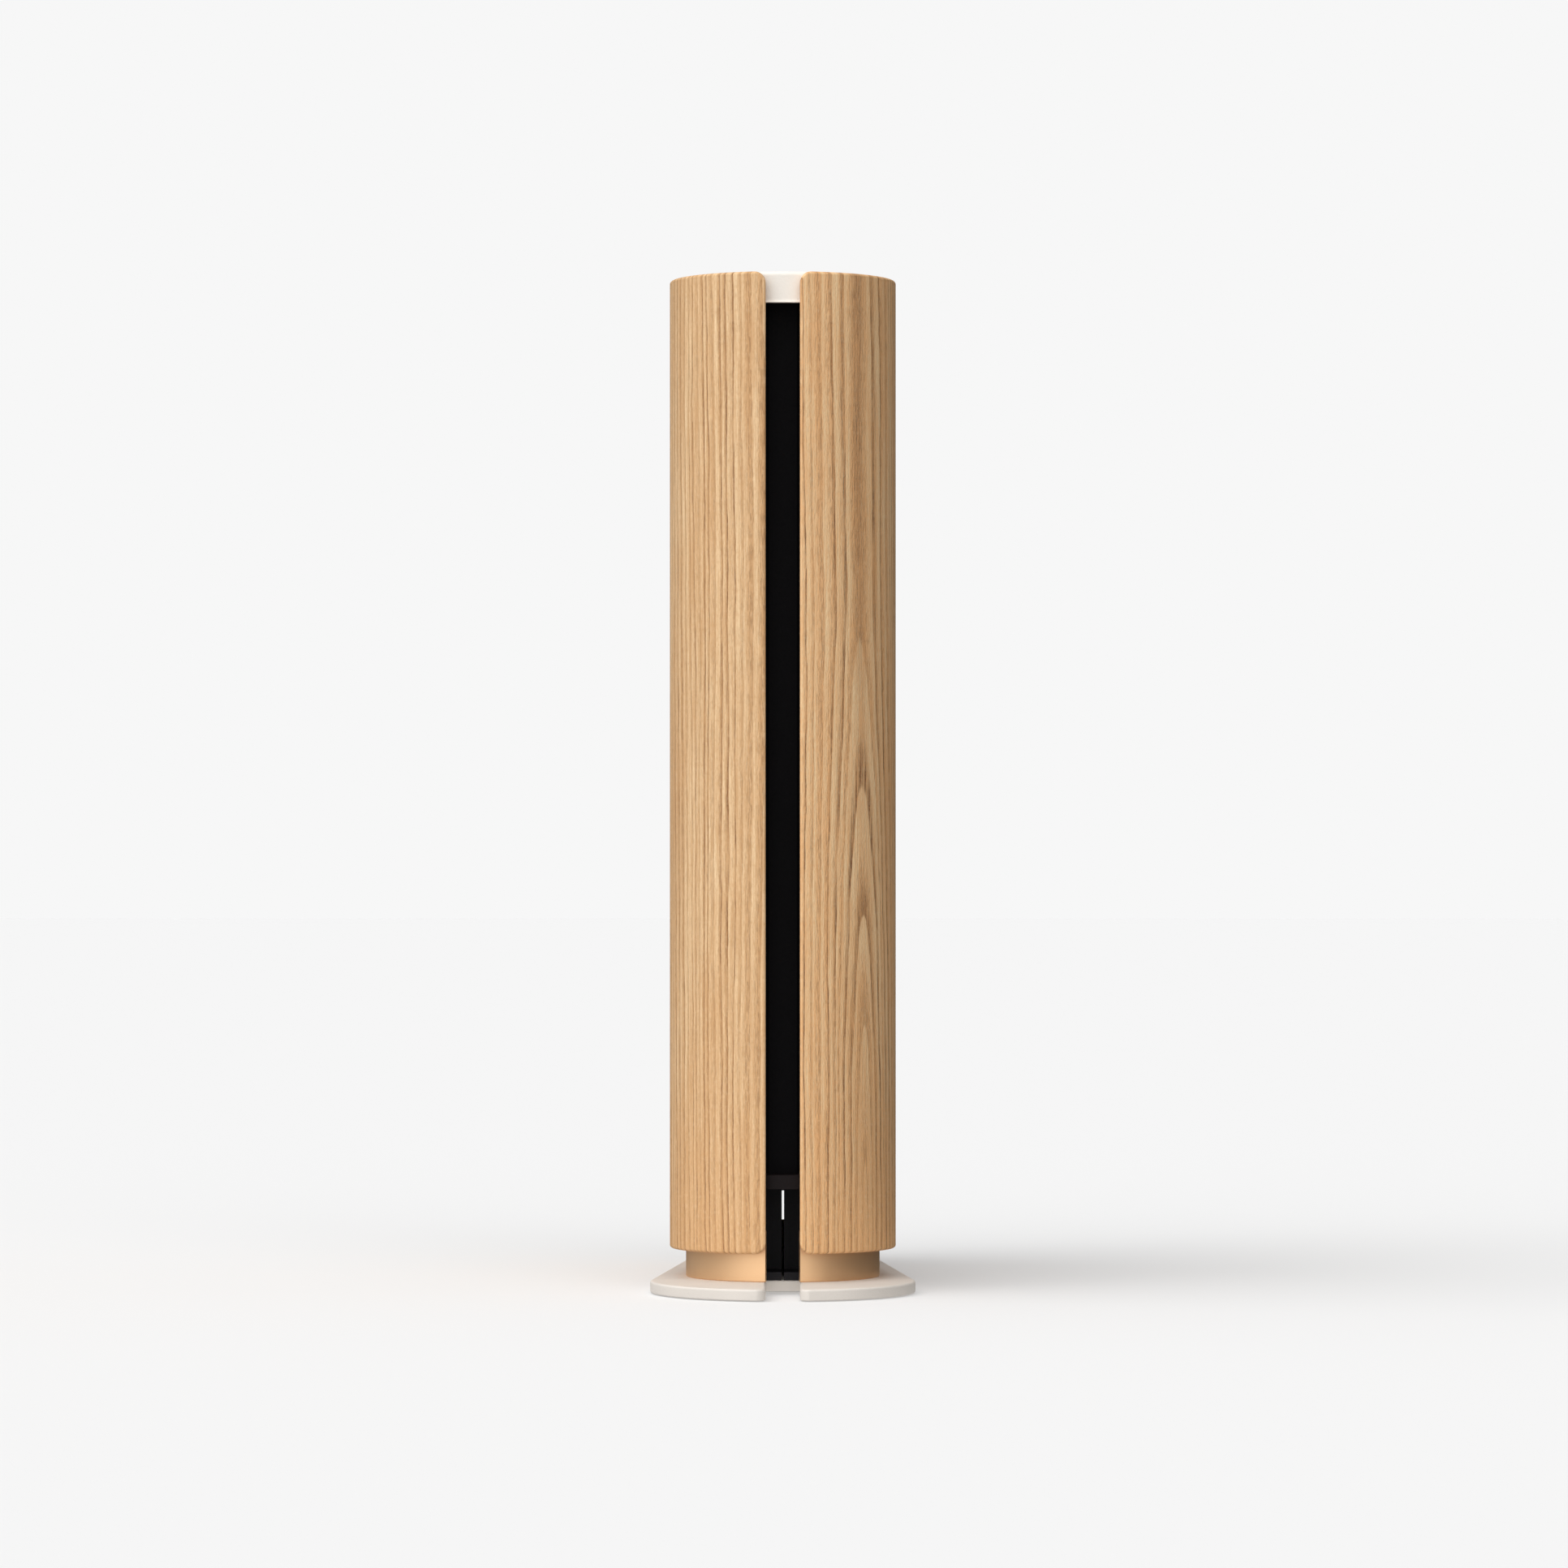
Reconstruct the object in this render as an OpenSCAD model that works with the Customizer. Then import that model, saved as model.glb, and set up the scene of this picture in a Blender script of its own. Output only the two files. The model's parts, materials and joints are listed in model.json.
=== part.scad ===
// Slim book-shaped wireless shelf speaker, as an assembly of separate pieces.
// Origin: centre of the underside. +Z up, -Y is the rear with the cable slot, +Y the fabric spine.

/* [Body] */
// Overall height of the speaker
total_h = 255; // [251:0.5:262]
// Outer radius of the rounded rear of the oak covers
rear_r = 28.6; // [28:0.1:30]
// Outer radius of the rounded front of the oak covers
front_r = 19.3; // [19:0.1:20]
// Distance between the centres of the two end curves
round_gap = 92.1; // [91:0.5:94]
// Thickness of the oak covers
cover_t = 3; // [2.6:0.1:3.1]
// Radius of the rounded corners of the covers
cover_corner = 2.9; // [1:0.1:3.5]
// Width of the slot between the covers at the rear
slot_w = 8.5; // [7.5:0.1:9]
// Y where the covers end and the fabric spine begins
cover_front_y = 68; // [67:0.5:69]

/* [Base] */
// Thickness of the base plate
base_t = 2.8; // [2.6:0.1:3]
// Radius of the rear end of the base plate
base_rear_r = 33.2; // [32:0.1:34]
// Radius of the front end of the base plate
base_front_r = 22.1; // [21:0.1:23]
// Overall depth of the base plate
base_depth = 164.4; // [163:0.1:166]
// Y where the cable notch in the base plate ends
notch_end_y = -50.4; // [-51:0.1:-50]
// Radius of the mouth corners of the cable notch
notch_corner = 2.5; // [1:0.1:4]
// Height of the gold neck that shows below the covers
neck_show = 7.15; // [6.5:0.05:8]

/* [Drivers] */
// Height of the woofer axis above the floor
woofer_z = 88; // [84:0.5:92]
// Radius of the woofer flange
woofer_flange_r = 41; // [40.5:0.1:41.5]
// Outer radius of the woofer cone
woofer_cone_r = 31; // [30.5:0.1:31.2]
// Height of the midrange axis above the floor
mid_z = 176; // [174:0.5:178]
// Height of the tweeter axis above the floor
tweeter_z = 214; // [211:0.5:216]

/* [Hidden] */
$fn = 96;

far = 400;                       // larger than the object, for cutting blocks
eps = 0.01;
rear_y = -32.9;                  // centre of the rear curve
front_y = rear_y + round_gap;    // centre of the front curve
half_slot = slot_w / 2;

sole_proud = 0.3;
base_top = sole_proud + base_t;
cover_bottom = base_top + neck_show;
cover_top = total_h - 0.4;
neck_off = 4.1;                  // insets from the covers' outer outline
neck_in_off = 5.3;
bay_off = 5.6;
bay_wall = 2;
bay_top = 26.3;
slit = 0.6;                      // gap between the two bay halves
floor_t = 3.5;
floor_top = bay_top + floor_t;
deck_t = 3;
mid_deck_z = 146;
top_deck_z = 236;
deck_off = 3.4;
deck_nose_off = 5.3;
deck_nose_y = 55;
cap_bottom = 247;
cap_off = 3.3;
cap_roof = total_h - 2.4;
channel_front = -48;             // the rear face of the inner structure
duct_y = -36;                    // rear wall of the bass enclosure, in front of the wiring duct
front_wall_y = 50;
gasket_t = 0.8;
baffle_t = 3.2;
front_face_y = front_wall_y + gasket_t + baffle_t;
wall = 2.4;
baffle_x = 11;                   // the woofer baffle's outer face
baffle_back_x = 8.2;
tub_x = baffle_back_x - gasket_t;
woofer_y = 7;
woofer_hole_r = woofer_flange_r - 4.6;
cavity_half = 8;                 // plug bay behind the slot
cavity_y = -38;
socket_y = -44;
grille_bottom = 19.8;
grille_top = cover_top - 0.2;
chin_top = 19.4;
chin_bottom = cover_bottom + 0.4;
columns = [for (s = [-1, 1]) each [[s * 15.5, -26], [s * 10.2, 42]]];
screw_r = 1.25;
pilot = 0.02;                    // radial room of a screw in its hole

oak = "burlywood";
gold = "tan";
cream = "antiquewhite";
black = "#1c1a1c";
steel = "silver";
copper = "peru";

// ---- outlines and small helpers ----

// The covers' outline, inset by off: two end curves joined by their common tangents
module plan(off = 0) capsule(rear_r - off, rear_y, front_r - off, front_y);

// The sides run a hair inside the tangents, so that they cross the curves at a clean point
module capsule(r1, y1, r2, y2, inset = 0.004) {
  lean = asin((r1 - r2) / (y2 - y1));
  ends = [[r1 - inset, y1], [r2 - inset, y2]];
  translate([0, y1]) circle(r1);
  translate([0, y2]) circle(r2);
  polygon([for (s = [1, -1], i = [0, 1]) let (e = ends[s > 0 ? i : 1 - i])
    [s * e[0] * cos(lean), e[1] + e[0] * sin(lean)]]);
}

// The outline between two Y values and two X values
module plan_part(off, y_low = -far, y_high = far, x_low = -far, x_high = far)
  intersection() {
    plan(off);
    translate([x_low, y_low]) square([x_high - x_low, y_high - y_low]);
  }

module slab(z_low, z_high) translate([0, 0, z_low]) linear_extrude(z_high - z_low) children();

module ring_plan(outer_off, inner_off) difference() { plan(outer_off); plan(inner_off); }

module block(low, high) translate(low) cube(high - low);

module rod(z_low, z_high, r) translate([0, 0, z_low]) cylinder(r = r, h = z_high - z_low);

module at_each(places) for (p = places) translate(p) children();

// Turns +Z to +X at a driver's centre
module facing_side(y, z) translate([0, y, z]) rotate([0, 90, 0]) children();

// Turns +Z to +Y at a driver's centre
module facing_front(z) translate([0, 0, z]) rotate([-90, 0, 0]) children();

// A ring of revolution from its (radius, height) outline
module turned(points) rotate_extrude() polygon(points);

// A pan-head screw whose head sits on z = 0 and whose shank goes down
module screw(length, r = screw_r, head_r = 2.4, head_h = 1.4)
  difference() {
    union() {
      rod(-length, 0, r);
      rod(0, head_h, head_r);
    }
    rod(head_h - 0.7, head_h + 1, 1.1, $fn = 6);
  }

// A countersunk screw whose head is flush with z = 0
module flush_screw(length, r = screw_r, head_r = 2.6, head_h = 1.4) translate([0, 0, -head_h])
  screw(length - head_h, r, head_r, head_h);

module flush_seat(depth) {
  rod(-1.4, 1, 2.7);
  rod(-depth, 0, screw_r + 0.2);
}

// ---- swept wires ----

function unit(v) = v / norm(v);
function smooth(p, n) = n == 0 ? p : smooth(concat([p[0]],
  [for (i = [0:len(p) - 2]) each [p[i] * 0.75 + p[i + 1] * 0.25, p[i] * 0.25 + p[i + 1] * 0.75]],
  [p[len(p) - 1]]), n - 1);
function heading(p, i) = unit(p[min(i + 1, len(p) - 1)] - p[max(i - 1, 0)]);
function carried(p, i) = i == 0 ? unit(cross(heading(p, 0), [0.31, 0.57, 0.76])) :
  let (t = heading(p, i), u = carried(p, i - 1)) unit(u - t * (t * u));

module wire(route, r, sides = 8) {
  p = smooth(route, 2);
  n = len(p);
  points = [for (i = [0:n - 1]) let (u = carried(p, i), v = cross(heading(p, i), u))
    for (k = [0:sides - 1]) p[i] + r * (cos(k * 360 / sides) * u + sin(k * 360 / sides) * v)];
  walls = [for (i = [0:n - 2], k = [0:sides - 1]) let (a = i * sides, b = a + sides, m = (k + 1) % sides)
    [a + k, b + k, b + m, a + m]];
  ends = [[for (k = [0:sides - 1]) k], [for (k = [sides - 1:-1:0]) (n - 1) * sides + k]];
  polyhedron(points, concat(walls, ends), convexity = 6);
}

// ---- base ----

// The notch takes the rearmost point away, so the rear circle reaches a little past the plate's depth
notch_loss = base_rear_r - sqrt(base_rear_r ^ 2 - (half_slot + notch_corner) ^ 2);
base_rear_y = base_rear_r - base_depth / 2 - notch_loss;
base_front_y = base_depth / 2 - base_front_r;

// The cable notch, with its mouth flared by the corner radius
module notch_outline(extra = 0) {
  w = half_slot + extra;
  mouth_y = base_rear_y - base_rear_r + 3.1;
  translate([-w, mouth_y - 10]) square([2 * w, notch_end_y + extra - mouth_y + 10]);
  translate([0, mouth_y - notch_corner]) difference() {
    translate([-w - notch_corner, -10]) square([2 * (w + notch_corner), 10 + notch_corner]);
    for (s = [-1, 1]) translate([s * (w + notch_corner), notch_corner]) circle(notch_corner);
  }
}

module base_outline(off) capsule(base_rear_r - off, base_rear_y, base_front_r - off, base_front_y);

module base_plate() color(cream) difference() {
  slab(sole_proud, base_top) base_outline(0);
  slab(-1, base_top + 1) notch_outline();
  slab(-1, 2 * sole_proud) difference() { base_outline(3.9); notch_outline(3.9); }
  at_each(columns) {
    rod(0, 2, 2.9);
    rod(0, base_top + 1, screw_r + 0.3);
  }
}

module base_sole() color("dimgray") slab(0, 2 * sole_proud) difference() {
  base_outline(4);
  notch_outline(4);
}

module base_screws() color(steel) at_each(columns)
  translate([0, 0, 2]) mirror([0, 0, 1]) screw(10, screw_r, 2.6, 1.3);

module neck_band() color(gold) difference() {
  slab(base_top, 16) ring_plan(neck_off, neck_in_off);
  block([-half_slot, -far, 0], [half_slot, 0, far]);
  block([-2, 0, chin_bottom + 0.15], [2, far, far]);
}

// ---- bay halves: black mouldings in the neck, parted by the slit ----

module bay_half(side) {
  difference() {
    union() {
      slab(base_top, base_top + bay_wall) difference() {
        half_plan(side, bay_off, slit / 2);
        translate([-half_slot, -far]) square([slot_w, far + notch_end_y + 0.2]);
      }
      slab(base_top, bay_top) difference() {
        half_plan(side, bay_off, slit / 2);
        half_plan(side, bay_off + bay_wall, slit / 2 + bay_wall,
          cavity_half + bay_wall, cavity_y + bay_wall);
        translate([-cavity_half, -far]) square([2 * cavity_half, far + cavity_y]);
      }
      slab(base_top, bay_top) at_each([for (c = columns) if (c[0] * side > 0) c]) circle(3.2);
    }
    at_each(columns) {
      rod(0, 12 + eps, screw_r + pilot);
      rod(bay_top - 8, far, screw_r + pilot);
    }
    if (side > 0) translate([0, button_y, button_z]) rotate([0, 90, 0]) rod(0, 12, button_r + 0.2);
    else block([-12, button_y - slider_w / 2 - 0.2, button_z - slider_w / 2 - 0.2],
      [0, button_y + slider_w / 2 + 0.2, button_z + slider_w / 2 + slider_travel + 0.2]);
  }
}

// One side's part of an outline, less a block around the plug bay
module half_plan(side, off, from_x, cut_x = 1, cut_y = -far / 2) difference() {
  intersection() {
    plan(off);
    if (side > 0) translate([from_x, -far]) square([far, 2 * far]);
    else translate([-far - from_x, -far]) square([far, 2 * far]);
  }
  translate([-cut_x, -far]) square([2 * cut_x, far + cut_y]);
}

button_y = -45;
button_z = 14.5;
button_r = 1.8;
slider_w = 1.6;
slider_travel = 2;
switch_gap = 0.6;

module bay_left() color(black) bay_half(-1);
module bay_right() color(black) bay_half(1);

module bay_screws() color(steel) at_each([for (c = columns) [c[0], c[1], floor_top]]) flush_screw(11);

module floor_plate() color("#2a2021") difference() {
  union() {
    slab(bay_top, floor_top) deck_outline(true);
    at_each([for (s = [-1, 1]) [s * 8.5, socket_y]]) rod(floor_top - eps, 34.5, 2);
  }
  at_each([for (c = columns) [c[0], c[1], floor_top]]) flush_seat(far);
  block([-4.7, socket_y - 1.85, 0], [4.7, socket_y + 1.85, far]);
  at_each([for (s = [-1, 1]) [s * 8.5, socket_y]]) rod(floor_top, far, 0.8 + pilot);
}

// A deck's outline: inset a little from the covers, and more where the spine's frame passes
module deck_outline(to_rear = false) {
  plan_part(deck_off, to_rear ? -far : channel_front + 0.2, deck_nose_y);
  plan_part(deck_nose_off, 0, far);
}

module chin_trim() color(black) difference() {
  slab(chin_bottom, chin_top) difference() {
    plan_part(1.2, cover_front_y + 0.4);
    plan(3.9);
  }
  block([-0.5, 0, 0], [0.5, far, 18.6]);
}

module power_socket() color(steel) difference() {
  block([-4.47, socket_y - 1.63, 27], [4.47, socket_y + 1.63, 34.5]);
  block([-4.17, socket_y - 1.28, 26], [4.17, socket_y + 1.28, 33.4]);
}

module socket_board() color("darkgreen") difference() {
  block([-11, socket_y - 3.2, 34.5], [11, socket_y + 6.4, 36.1]);
  at_each([for (s = [-1, 1]) [s * 8.5, socket_y]]) rod(0, far, 1);
}

module socket_screws() color(steel) at_each([for (s = [-1, 1]) [s * 8.5, socket_y, 36.1]])
  screw(5.5, 0.8, 1.7, 1);

module setup_button() color("gainsboro") translate([cavity_half, button_y, button_z]) rotate([0, 90, 0]) {
  rod(-0.7, bay_wall + 0.1, button_r);
  rod(bay_wall + 0.05, bay_wall + 0.8, button_r + 0.7);
}

module tact_switch() color("dimgray")
  translate([cavity_half + bay_wall + 0.8 + switch_gap, button_y, button_z]) {
    block([0.6, -2.5, -2.5], [2.8, 2.5, 2.5]);
    rotate([0, 90, 0]) rod(0, 0.7, 1.4);
  }

module mic_slider() color("gainsboro") translate([-cavity_half - bay_wall, button_y, button_z]) {
  block([-0.8, -2.2, -1.6], [-0.05, 2.2, 1.6]);
  block([-0.4, -slider_w / 2, -slider_w / 2], [bay_wall + 0.7, slider_w / 2, slider_w / 2]);
}

module mic_switch_body() color("dimgray") translate([-cavity_half - bay_wall - 0.8, button_y, button_z])
  block([-3.2, -2.5, -3], [-0.2, 2.5, 5]);

// ---- covers ----

// What the rounding takes off a cover's corner: a square corner less a quarter disc
module corner_cut(r) difference() {
  translate([-1, -1]) square(r + 1);
  translate([r, r]) circle(r);
}

module cover(side) intersection() {
  difference() {
    slab(cover_bottom, cover_top) ring_plan(0, cover_t);
    block([-half_slot, -far, 0], [half_slot, 0, far]);
    block([-far, cover_front_y, 0], [far, far, far]);
    for (end = [0, 1]) translate([0, 0, end ? cover_top : cover_bottom]) mirror([0, 0, end]) {
      translate([side * half_slot, 0, 0]) mirror([side > 0 ? 0 : 1, 0, 0]) rotate([90, 0, 0])
        linear_extrude(far) corner_cut(cover_corner);
      translate([-far / 2, cover_front_y, 0]) rotate([90, 0, 90]) linear_extrude(far)
        mirror([1, 0]) corner_cut(cover_corner);
    }
  }
  block([side > 0 ? 0 : -far, -far, 0], [side > 0 ? far : 0, far, far]);
}

module left_cover() color(oak) cover(-1);
module right_cover() color(oak) cover(1);

// Blocks glued inside a cover that hook over the decks' edges
module cover_hooks(side) for (z = [floor_top, mid_deck_z + deck_t, top_deck_z + deck_t], y = [-24, 34])
  slab(z, z + 6) intersection() {
    ring_plan(cover_t + 0.04, cover_t + 1);
    translate([side > 0 ? 0 : -far, y]) square([far, 12]);
  }

module left_cover_hooks() color(black) cover_hooks(-1);
module right_cover_hooks() color(black) cover_hooks(1);

module rear_channel() color(black) {
  block([-12, channel_front - 1.2, floor_top], [12, channel_front, cap_roof - 1]);
  block([-3.6, channel_front - 2.2, floor_top], [3.6, channel_front - 1.2, cap_roof - 1]);
}

// ---- top cap and its parts ----

cap_posts = [for (s = [-1, 1]) each [[s * 12, -25], [s * 6.5, 62]]];
light_y = 55;
mic_places = [for (s = [-1, 1]) [s * 7, 57]];
touch_rear_r = rear_r - 11;
touch_front_r = 11.5;
touch_front_y = 34;

module top_cap() color(cream) difference() {
  union() {
    difference() {
      slab(cap_bottom, total_h) plan(cap_off);
      slab(0, cap_roof) plan(cap_off + 2);
    }
    at_each(cap_posts) rod(top_deck_z + deck_t, cap_roof + eps, 3);
  }
  at_each(cap_posts) rod(0, 249, screw_r + pilot);
  slab(total_h - 0.7, far) touch_outline(0.1);
  translate([0, light_y, 0]) rod(0, far, 1.3);
  at_each([for (m = mic_places) [m[0], m[1], total_h - 0.6]]) rod(0, 2, 1.6);
}

module cap_screws() color(steel) at_each([for (p = cap_posts) [p[0], p[1], top_deck_z]])
  mirror([0, 0, 1]) screw(12);

module touch_outline(extra = 0)
  capsule(touch_rear_r + extra, rear_y, touch_front_r + extra, touch_front_y);

module touch_plate() color("cornsilk") slab(total_h - 0.7, total_h - 0.1) touch_outline();

module touch_board() color("darkgreen") difference() {
  slab(250.4, 252) plan_part(13, -20, front_y);
  translate([0, light_y, 0]) rod(0, far, 1.5);
}

module status_light() color("white") translate([0, light_y, 0]) rod(249.4, total_h - 0.05, 1.15);

module mic_meshes() color("gray") at_each([for (m = mic_places) [m[0], m[1], 0]])
  rod(total_h - 0.6, total_h - 0.15, 1.5);

// ---- spine grille ----

module grille_frame() color("#26221f") difference() {
  union() {
    slab(grille_bottom, grille_top) difference() { plan_part(0.95, cover_front_y + 0.5); plan(2.6); }
    slab(grille_bottom, cap_bottom - 1) difference() {
      union() {
        plan_part(0.95, cover_front_y + 0.5, cover_front_y + 2);
        plan_part(cover_t + 0.3, deck_nose_y + 0.3, cover_front_y + 2);
      }
      plan(4.9);
    }
  }
  for (i = [0:29], s = [-1, 1]) translate([s * 6.6, 0, grille_bottom + 7 + i * 7.2])
    block([-5.2, cover_front_y + 2, 0], [5.2, far, 4.4]);
}

module grille_fabric() color("#8f8272") slab(grille_bottom, grille_top) difference() {
  plan_part(0.2, cover_front_y + 0.15);
  plan(0.9);
}

// ---- bass enclosure, woofer ----

boss_in = 5.4;
corner_bosses = [for (y = [duct_y + boss_in, front_wall_y - boss_in],
  z = [floor_top + boss_in, mid_deck_z - boss_in]) [y, z]];

module bass_enclosure() color("#3a3a3c") difference() {
  union() {
    difference() {
      slab(floor_top, mid_deck_z) plan_part(4.2, duct_y, front_wall_y, -far, tub_x);
      slab(floor_top + wall, mid_deck_z - wall) plan_part(4.2 + wall, duct_y + wall, front_wall_y - wall);
    }
    for (b = corner_bosses) translate([0, b[0], b[1]]) rotate([0, 90, 0]) rod(-9, tub_x, 3.2);
  }
  for (b = corner_bosses) translate([0, b[0], b[1]]) rotate([0, 90, 0]) rod(-2, far, screw_r + pilot);
  at_each(mid_deck_screws) rod(mid_deck_z - 2.3, far, screw_r + pilot);
  translate([-8, 0, 124]) rotate([90, 0, 0]) rod(0, far, 1.9);
}

module baffle_rectangle(x_low, x_high)
  block([x_low, duct_y, floor_top], [x_high, front_wall_y, mid_deck_z]);

module woofer_baffle() color("#3a3a3c") difference() {
  baffle_rectangle(baffle_back_x, baffle_x);
  facing_side(woofer_y, woofer_z) rod(0, far, woofer_hole_r);
  for (b = corner_bosses) translate([0, b[0], b[1]]) rotate([0, 90, 0]) rod(0, far, screw_r + 0.2);
  facing_side(woofer_y, woofer_z) woofer_screw_places() rod(0, far, 1.02);
}

module bass_gasket() color("dimgray") difference() {
  baffle_rectangle(tub_x, baffle_back_x);
  block([0, duct_y + wall, floor_top + wall], [far, front_wall_y - wall, mid_deck_z - wall]);
}

module baffle_screws() color(steel) for (b = corner_bosses)
  translate([baffle_x, b[0], b[1]]) rotate([0, 90, 0]) screw(11);

module woofer_screw_places() for (a = [45:90:315])
  rotate(a) translate([woofer_flange_r - 1.9, 0, 0]) children();

// Radii and places along the woofer's axis, +X outwards
basket_r = woofer_hole_r - 0.4;
pot_r = 23;
plate_top = -2;
plate_t = 3;
magnet_t = 6;
yoke_t = 3;
gap_in_r = 12.3;
gap_out_r = 14;
coil_r = 12.7;
coil_back = -6;
former_top = 4.4;
ledge_x = plate_top + 0.8;

module woofer_frame() color("#2c2c2e") facing_side(woofer_y, woofer_z) difference() {
  turned([[basket_r - 1.4, 4], [basket_r - 1.4, baffle_x], [woofer_cone_r + 4, baffle_x],
    [woofer_cone_r + 4, baffle_x + 1.6], [woofer_flange_r, baffle_x + 1.6], [woofer_flange_r, baffle_x],
    [basket_r, baffle_x], [basket_r, 3.4], [pot_r + 2, plate_top], [gap_out_r + 1, plate_top],
    [gap_out_r + 1, ledge_x - 0.2], [pot_r - 1.5, ledge_x - 0.2], [pot_r - 1.5, ledge_x],
    [pot_r + 1, ledge_x]]);
  for (a = [0:60:300]) rotate(a) block([pot_r + 3.4, -8, plate_top + 1.6], [far, 8, baffle_x - 2.4]);
  woofer_screw_places() rod(0, far, 1.2);
}

module woofer_screws() color(steel) facing_side(woofer_y, woofer_z) woofer_screw_places()
  translate([0, 0, baffle_x + 1.6]) screw(4.2, 1, 1.7, 1.1);

module woofer_top_plate() color(steel) facing_side(woofer_y, woofer_z)
  turned([[gap_out_r, plate_top - plate_t], [pot_r, plate_top - plate_t], [pot_r, plate_top],
    [gap_out_r, plate_top]]);

module woofer_magnet() color("#4a4a4c") facing_side(woofer_y, woofer_z) {
  top = plate_top - plate_t;
  turned([[gap_out_r + 1.5, top - magnet_t], [pot_r + 1, top - magnet_t], [pot_r + 1, top],
    [gap_out_r + 1.5, top]]);
}

module woofer_yoke() color(steel) facing_side(woofer_y, woofer_z) {
  back = plate_top - plate_t - magnet_t;
  turned([[3, back - yoke_t], [pot_r, back - yoke_t], [pot_r, back], [gap_in_r, back],
    [gap_in_r, plate_top], [3, plate_top]]);
}

// Cone and dust cap in one paper pressing
module woofer_cone() color("#303032") facing_side(woofer_y, woofer_z)
  turned([[coil_r, former_top], [coil_r + 0.35, former_top], [woofer_cone_r, 12.2], [woofer_cone_r, 12.8],
    [coil_r + 1.2, 5.8], [10, 6.9], [6, 7.9], [0, 8.4], [0, 7.8], [6, 7.3], [10, 6.3], [coil_r, 5.1]]);

function arc(cx, cy, r, a0, a1, n = 12) = [for (i = [0:n]) let (a = a0 + (a1 - a0) * i / n)
  [cx + r * cos(a), cy + r * sin(a)]];

// Half-roll rubber surround between the cone's edge and the flange
module woofer_surround() color("#1f1f20") facing_side(woofer_y, woofer_z) {
  inner = woofer_cone_r + 0.25;
  roll = inner + 2.4;
  seat = baffle_x + 1.65;
  turned(concat([[inner, seat]], arc(roll, seat + 0.1, 2.4, 180, 0),
    [[roll + 3.4, seat + 0.6], [roll + 3.4, seat]], arc(roll, seat, 1.8, 0, 180)));
}

// Corrugated suspension between the basket's ledge and the voice coil
spider_steps = 32;
function spider_wave(i) = ledge_x + 0.35 - 0.35 * cos(i * 360 * 4 / spider_steps);
function spider_point(i, up) =
  [coil_r + 1.3 + (pot_r - coil_r - 1.3) * i / spider_steps, spider_wave(i) + up];

module woofer_spider() color("darkkhaki") facing_side(woofer_y, woofer_z)
  turned(concat([for (i = [0:spider_steps]) spider_point(i, 0)],
    [for (i = [spider_steps:-1:0]) spider_point(i, 0.3)]));

module woofer_voice_coil() color(copper) facing_side(woofer_y, woofer_z)
  turned([[coil_r, coil_back], [coil_r + 0.7, coil_back], [coil_r + 0.7, 0], [coil_r + 0.3, 0],
    [coil_r + 0.3, former_top], [coil_r, former_top]]);

// ---- decks, upper enclosure, front drivers ----

mid_deck_screws = [[-13, -20], [-12, 30], [3, 20]];
top_deck_screws = [[-11, 14], [11, 14]];
upper_rear_y = 0;

module mid_deck() color("#333335") difference() {
  slab(mid_deck_z, mid_deck_z + deck_t) deck_outline();
  at_each([for (p = mid_deck_screws) [p[0], p[1], mid_deck_z + deck_t]]) flush_seat(10);
  block([-10, channel_front, 0], [10, duct_y - 1, far]);
}

module top_deck() color("#333335") difference() {
  slab(top_deck_z, top_deck_z + deck_t) deck_outline();
  at_each([for (p = top_deck_screws) [p[0], p[1], top_deck_z + deck_t]]) flush_seat(10);
  at_each(cap_posts) rod(0, far, screw_r + 0.2);
  block([-9, -16, 0], [9, -8, far]);
}

module deck_screws() color(steel) {
  at_each([for (p = mid_deck_screws) [p[0], p[1], mid_deck_z + deck_t]]) flush_screw(5.2);
  at_each([for (p = top_deck_screws) [p[0], p[1], top_deck_z + deck_t]]) flush_screw(5.2);
}

module upper_enclosure() color("#3a3a3c") difference() {
  slab(mid_deck_z + deck_t, top_deck_z) plan_part(4.4, upper_rear_y, front_wall_y);
  slab(mid_deck_z + deck_t + wall, top_deck_z - wall) plan_part(4.4 + wall, upper_rear_y + wall, far);
  at_each(top_deck_screws) rod(top_deck_z - 2.3, far, screw_r + pilot);
  translate([0, upper_rear_y - 1, 190]) rotate([-90, 0, 0]) rod(0, 6, 1.9);
}

module front_gasket() color("dimgray") difference() {
  slab(mid_deck_z + deck_t, top_deck_z) plan_part(4.4, front_wall_y, front_wall_y + gasket_t);
  slab(mid_deck_z + deck_t + wall, top_deck_z - wall) plan_part(4.4 + wall, 0, far);
}

mid_hole_r = 13.4;
tweeter_hole_r = 10;
mid_screws = [for (s = [-1, 1], t = [-1, 1]) [s * 9.5, mid_z + t * 13.6]];
tweeter_screws = [for (t = [-1, 1]) [0, tweeter_z + t * 12.2]];

module front_baffle() color("#3a3a3c") difference() {
  slab(mid_deck_z + deck_t, top_deck_z) plan_part(4.4, front_wall_y + gasket_t, front_face_y);
  facing_front(mid_z) rod(0, far, mid_hole_r);
  facing_front(tweeter_z) rod(0, far, tweeter_hole_r);
  for (p = concat(mid_screws, tweeter_screws))
    translate([p[0], 0, p[1]]) rotate([-90, 0, 0]) rod(0, far, 0.82);
}

mid_front = front_face_y + 1.5;      // front faces of the drivers' flanges
tweeter_front = front_face_y + 1.8;

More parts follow.
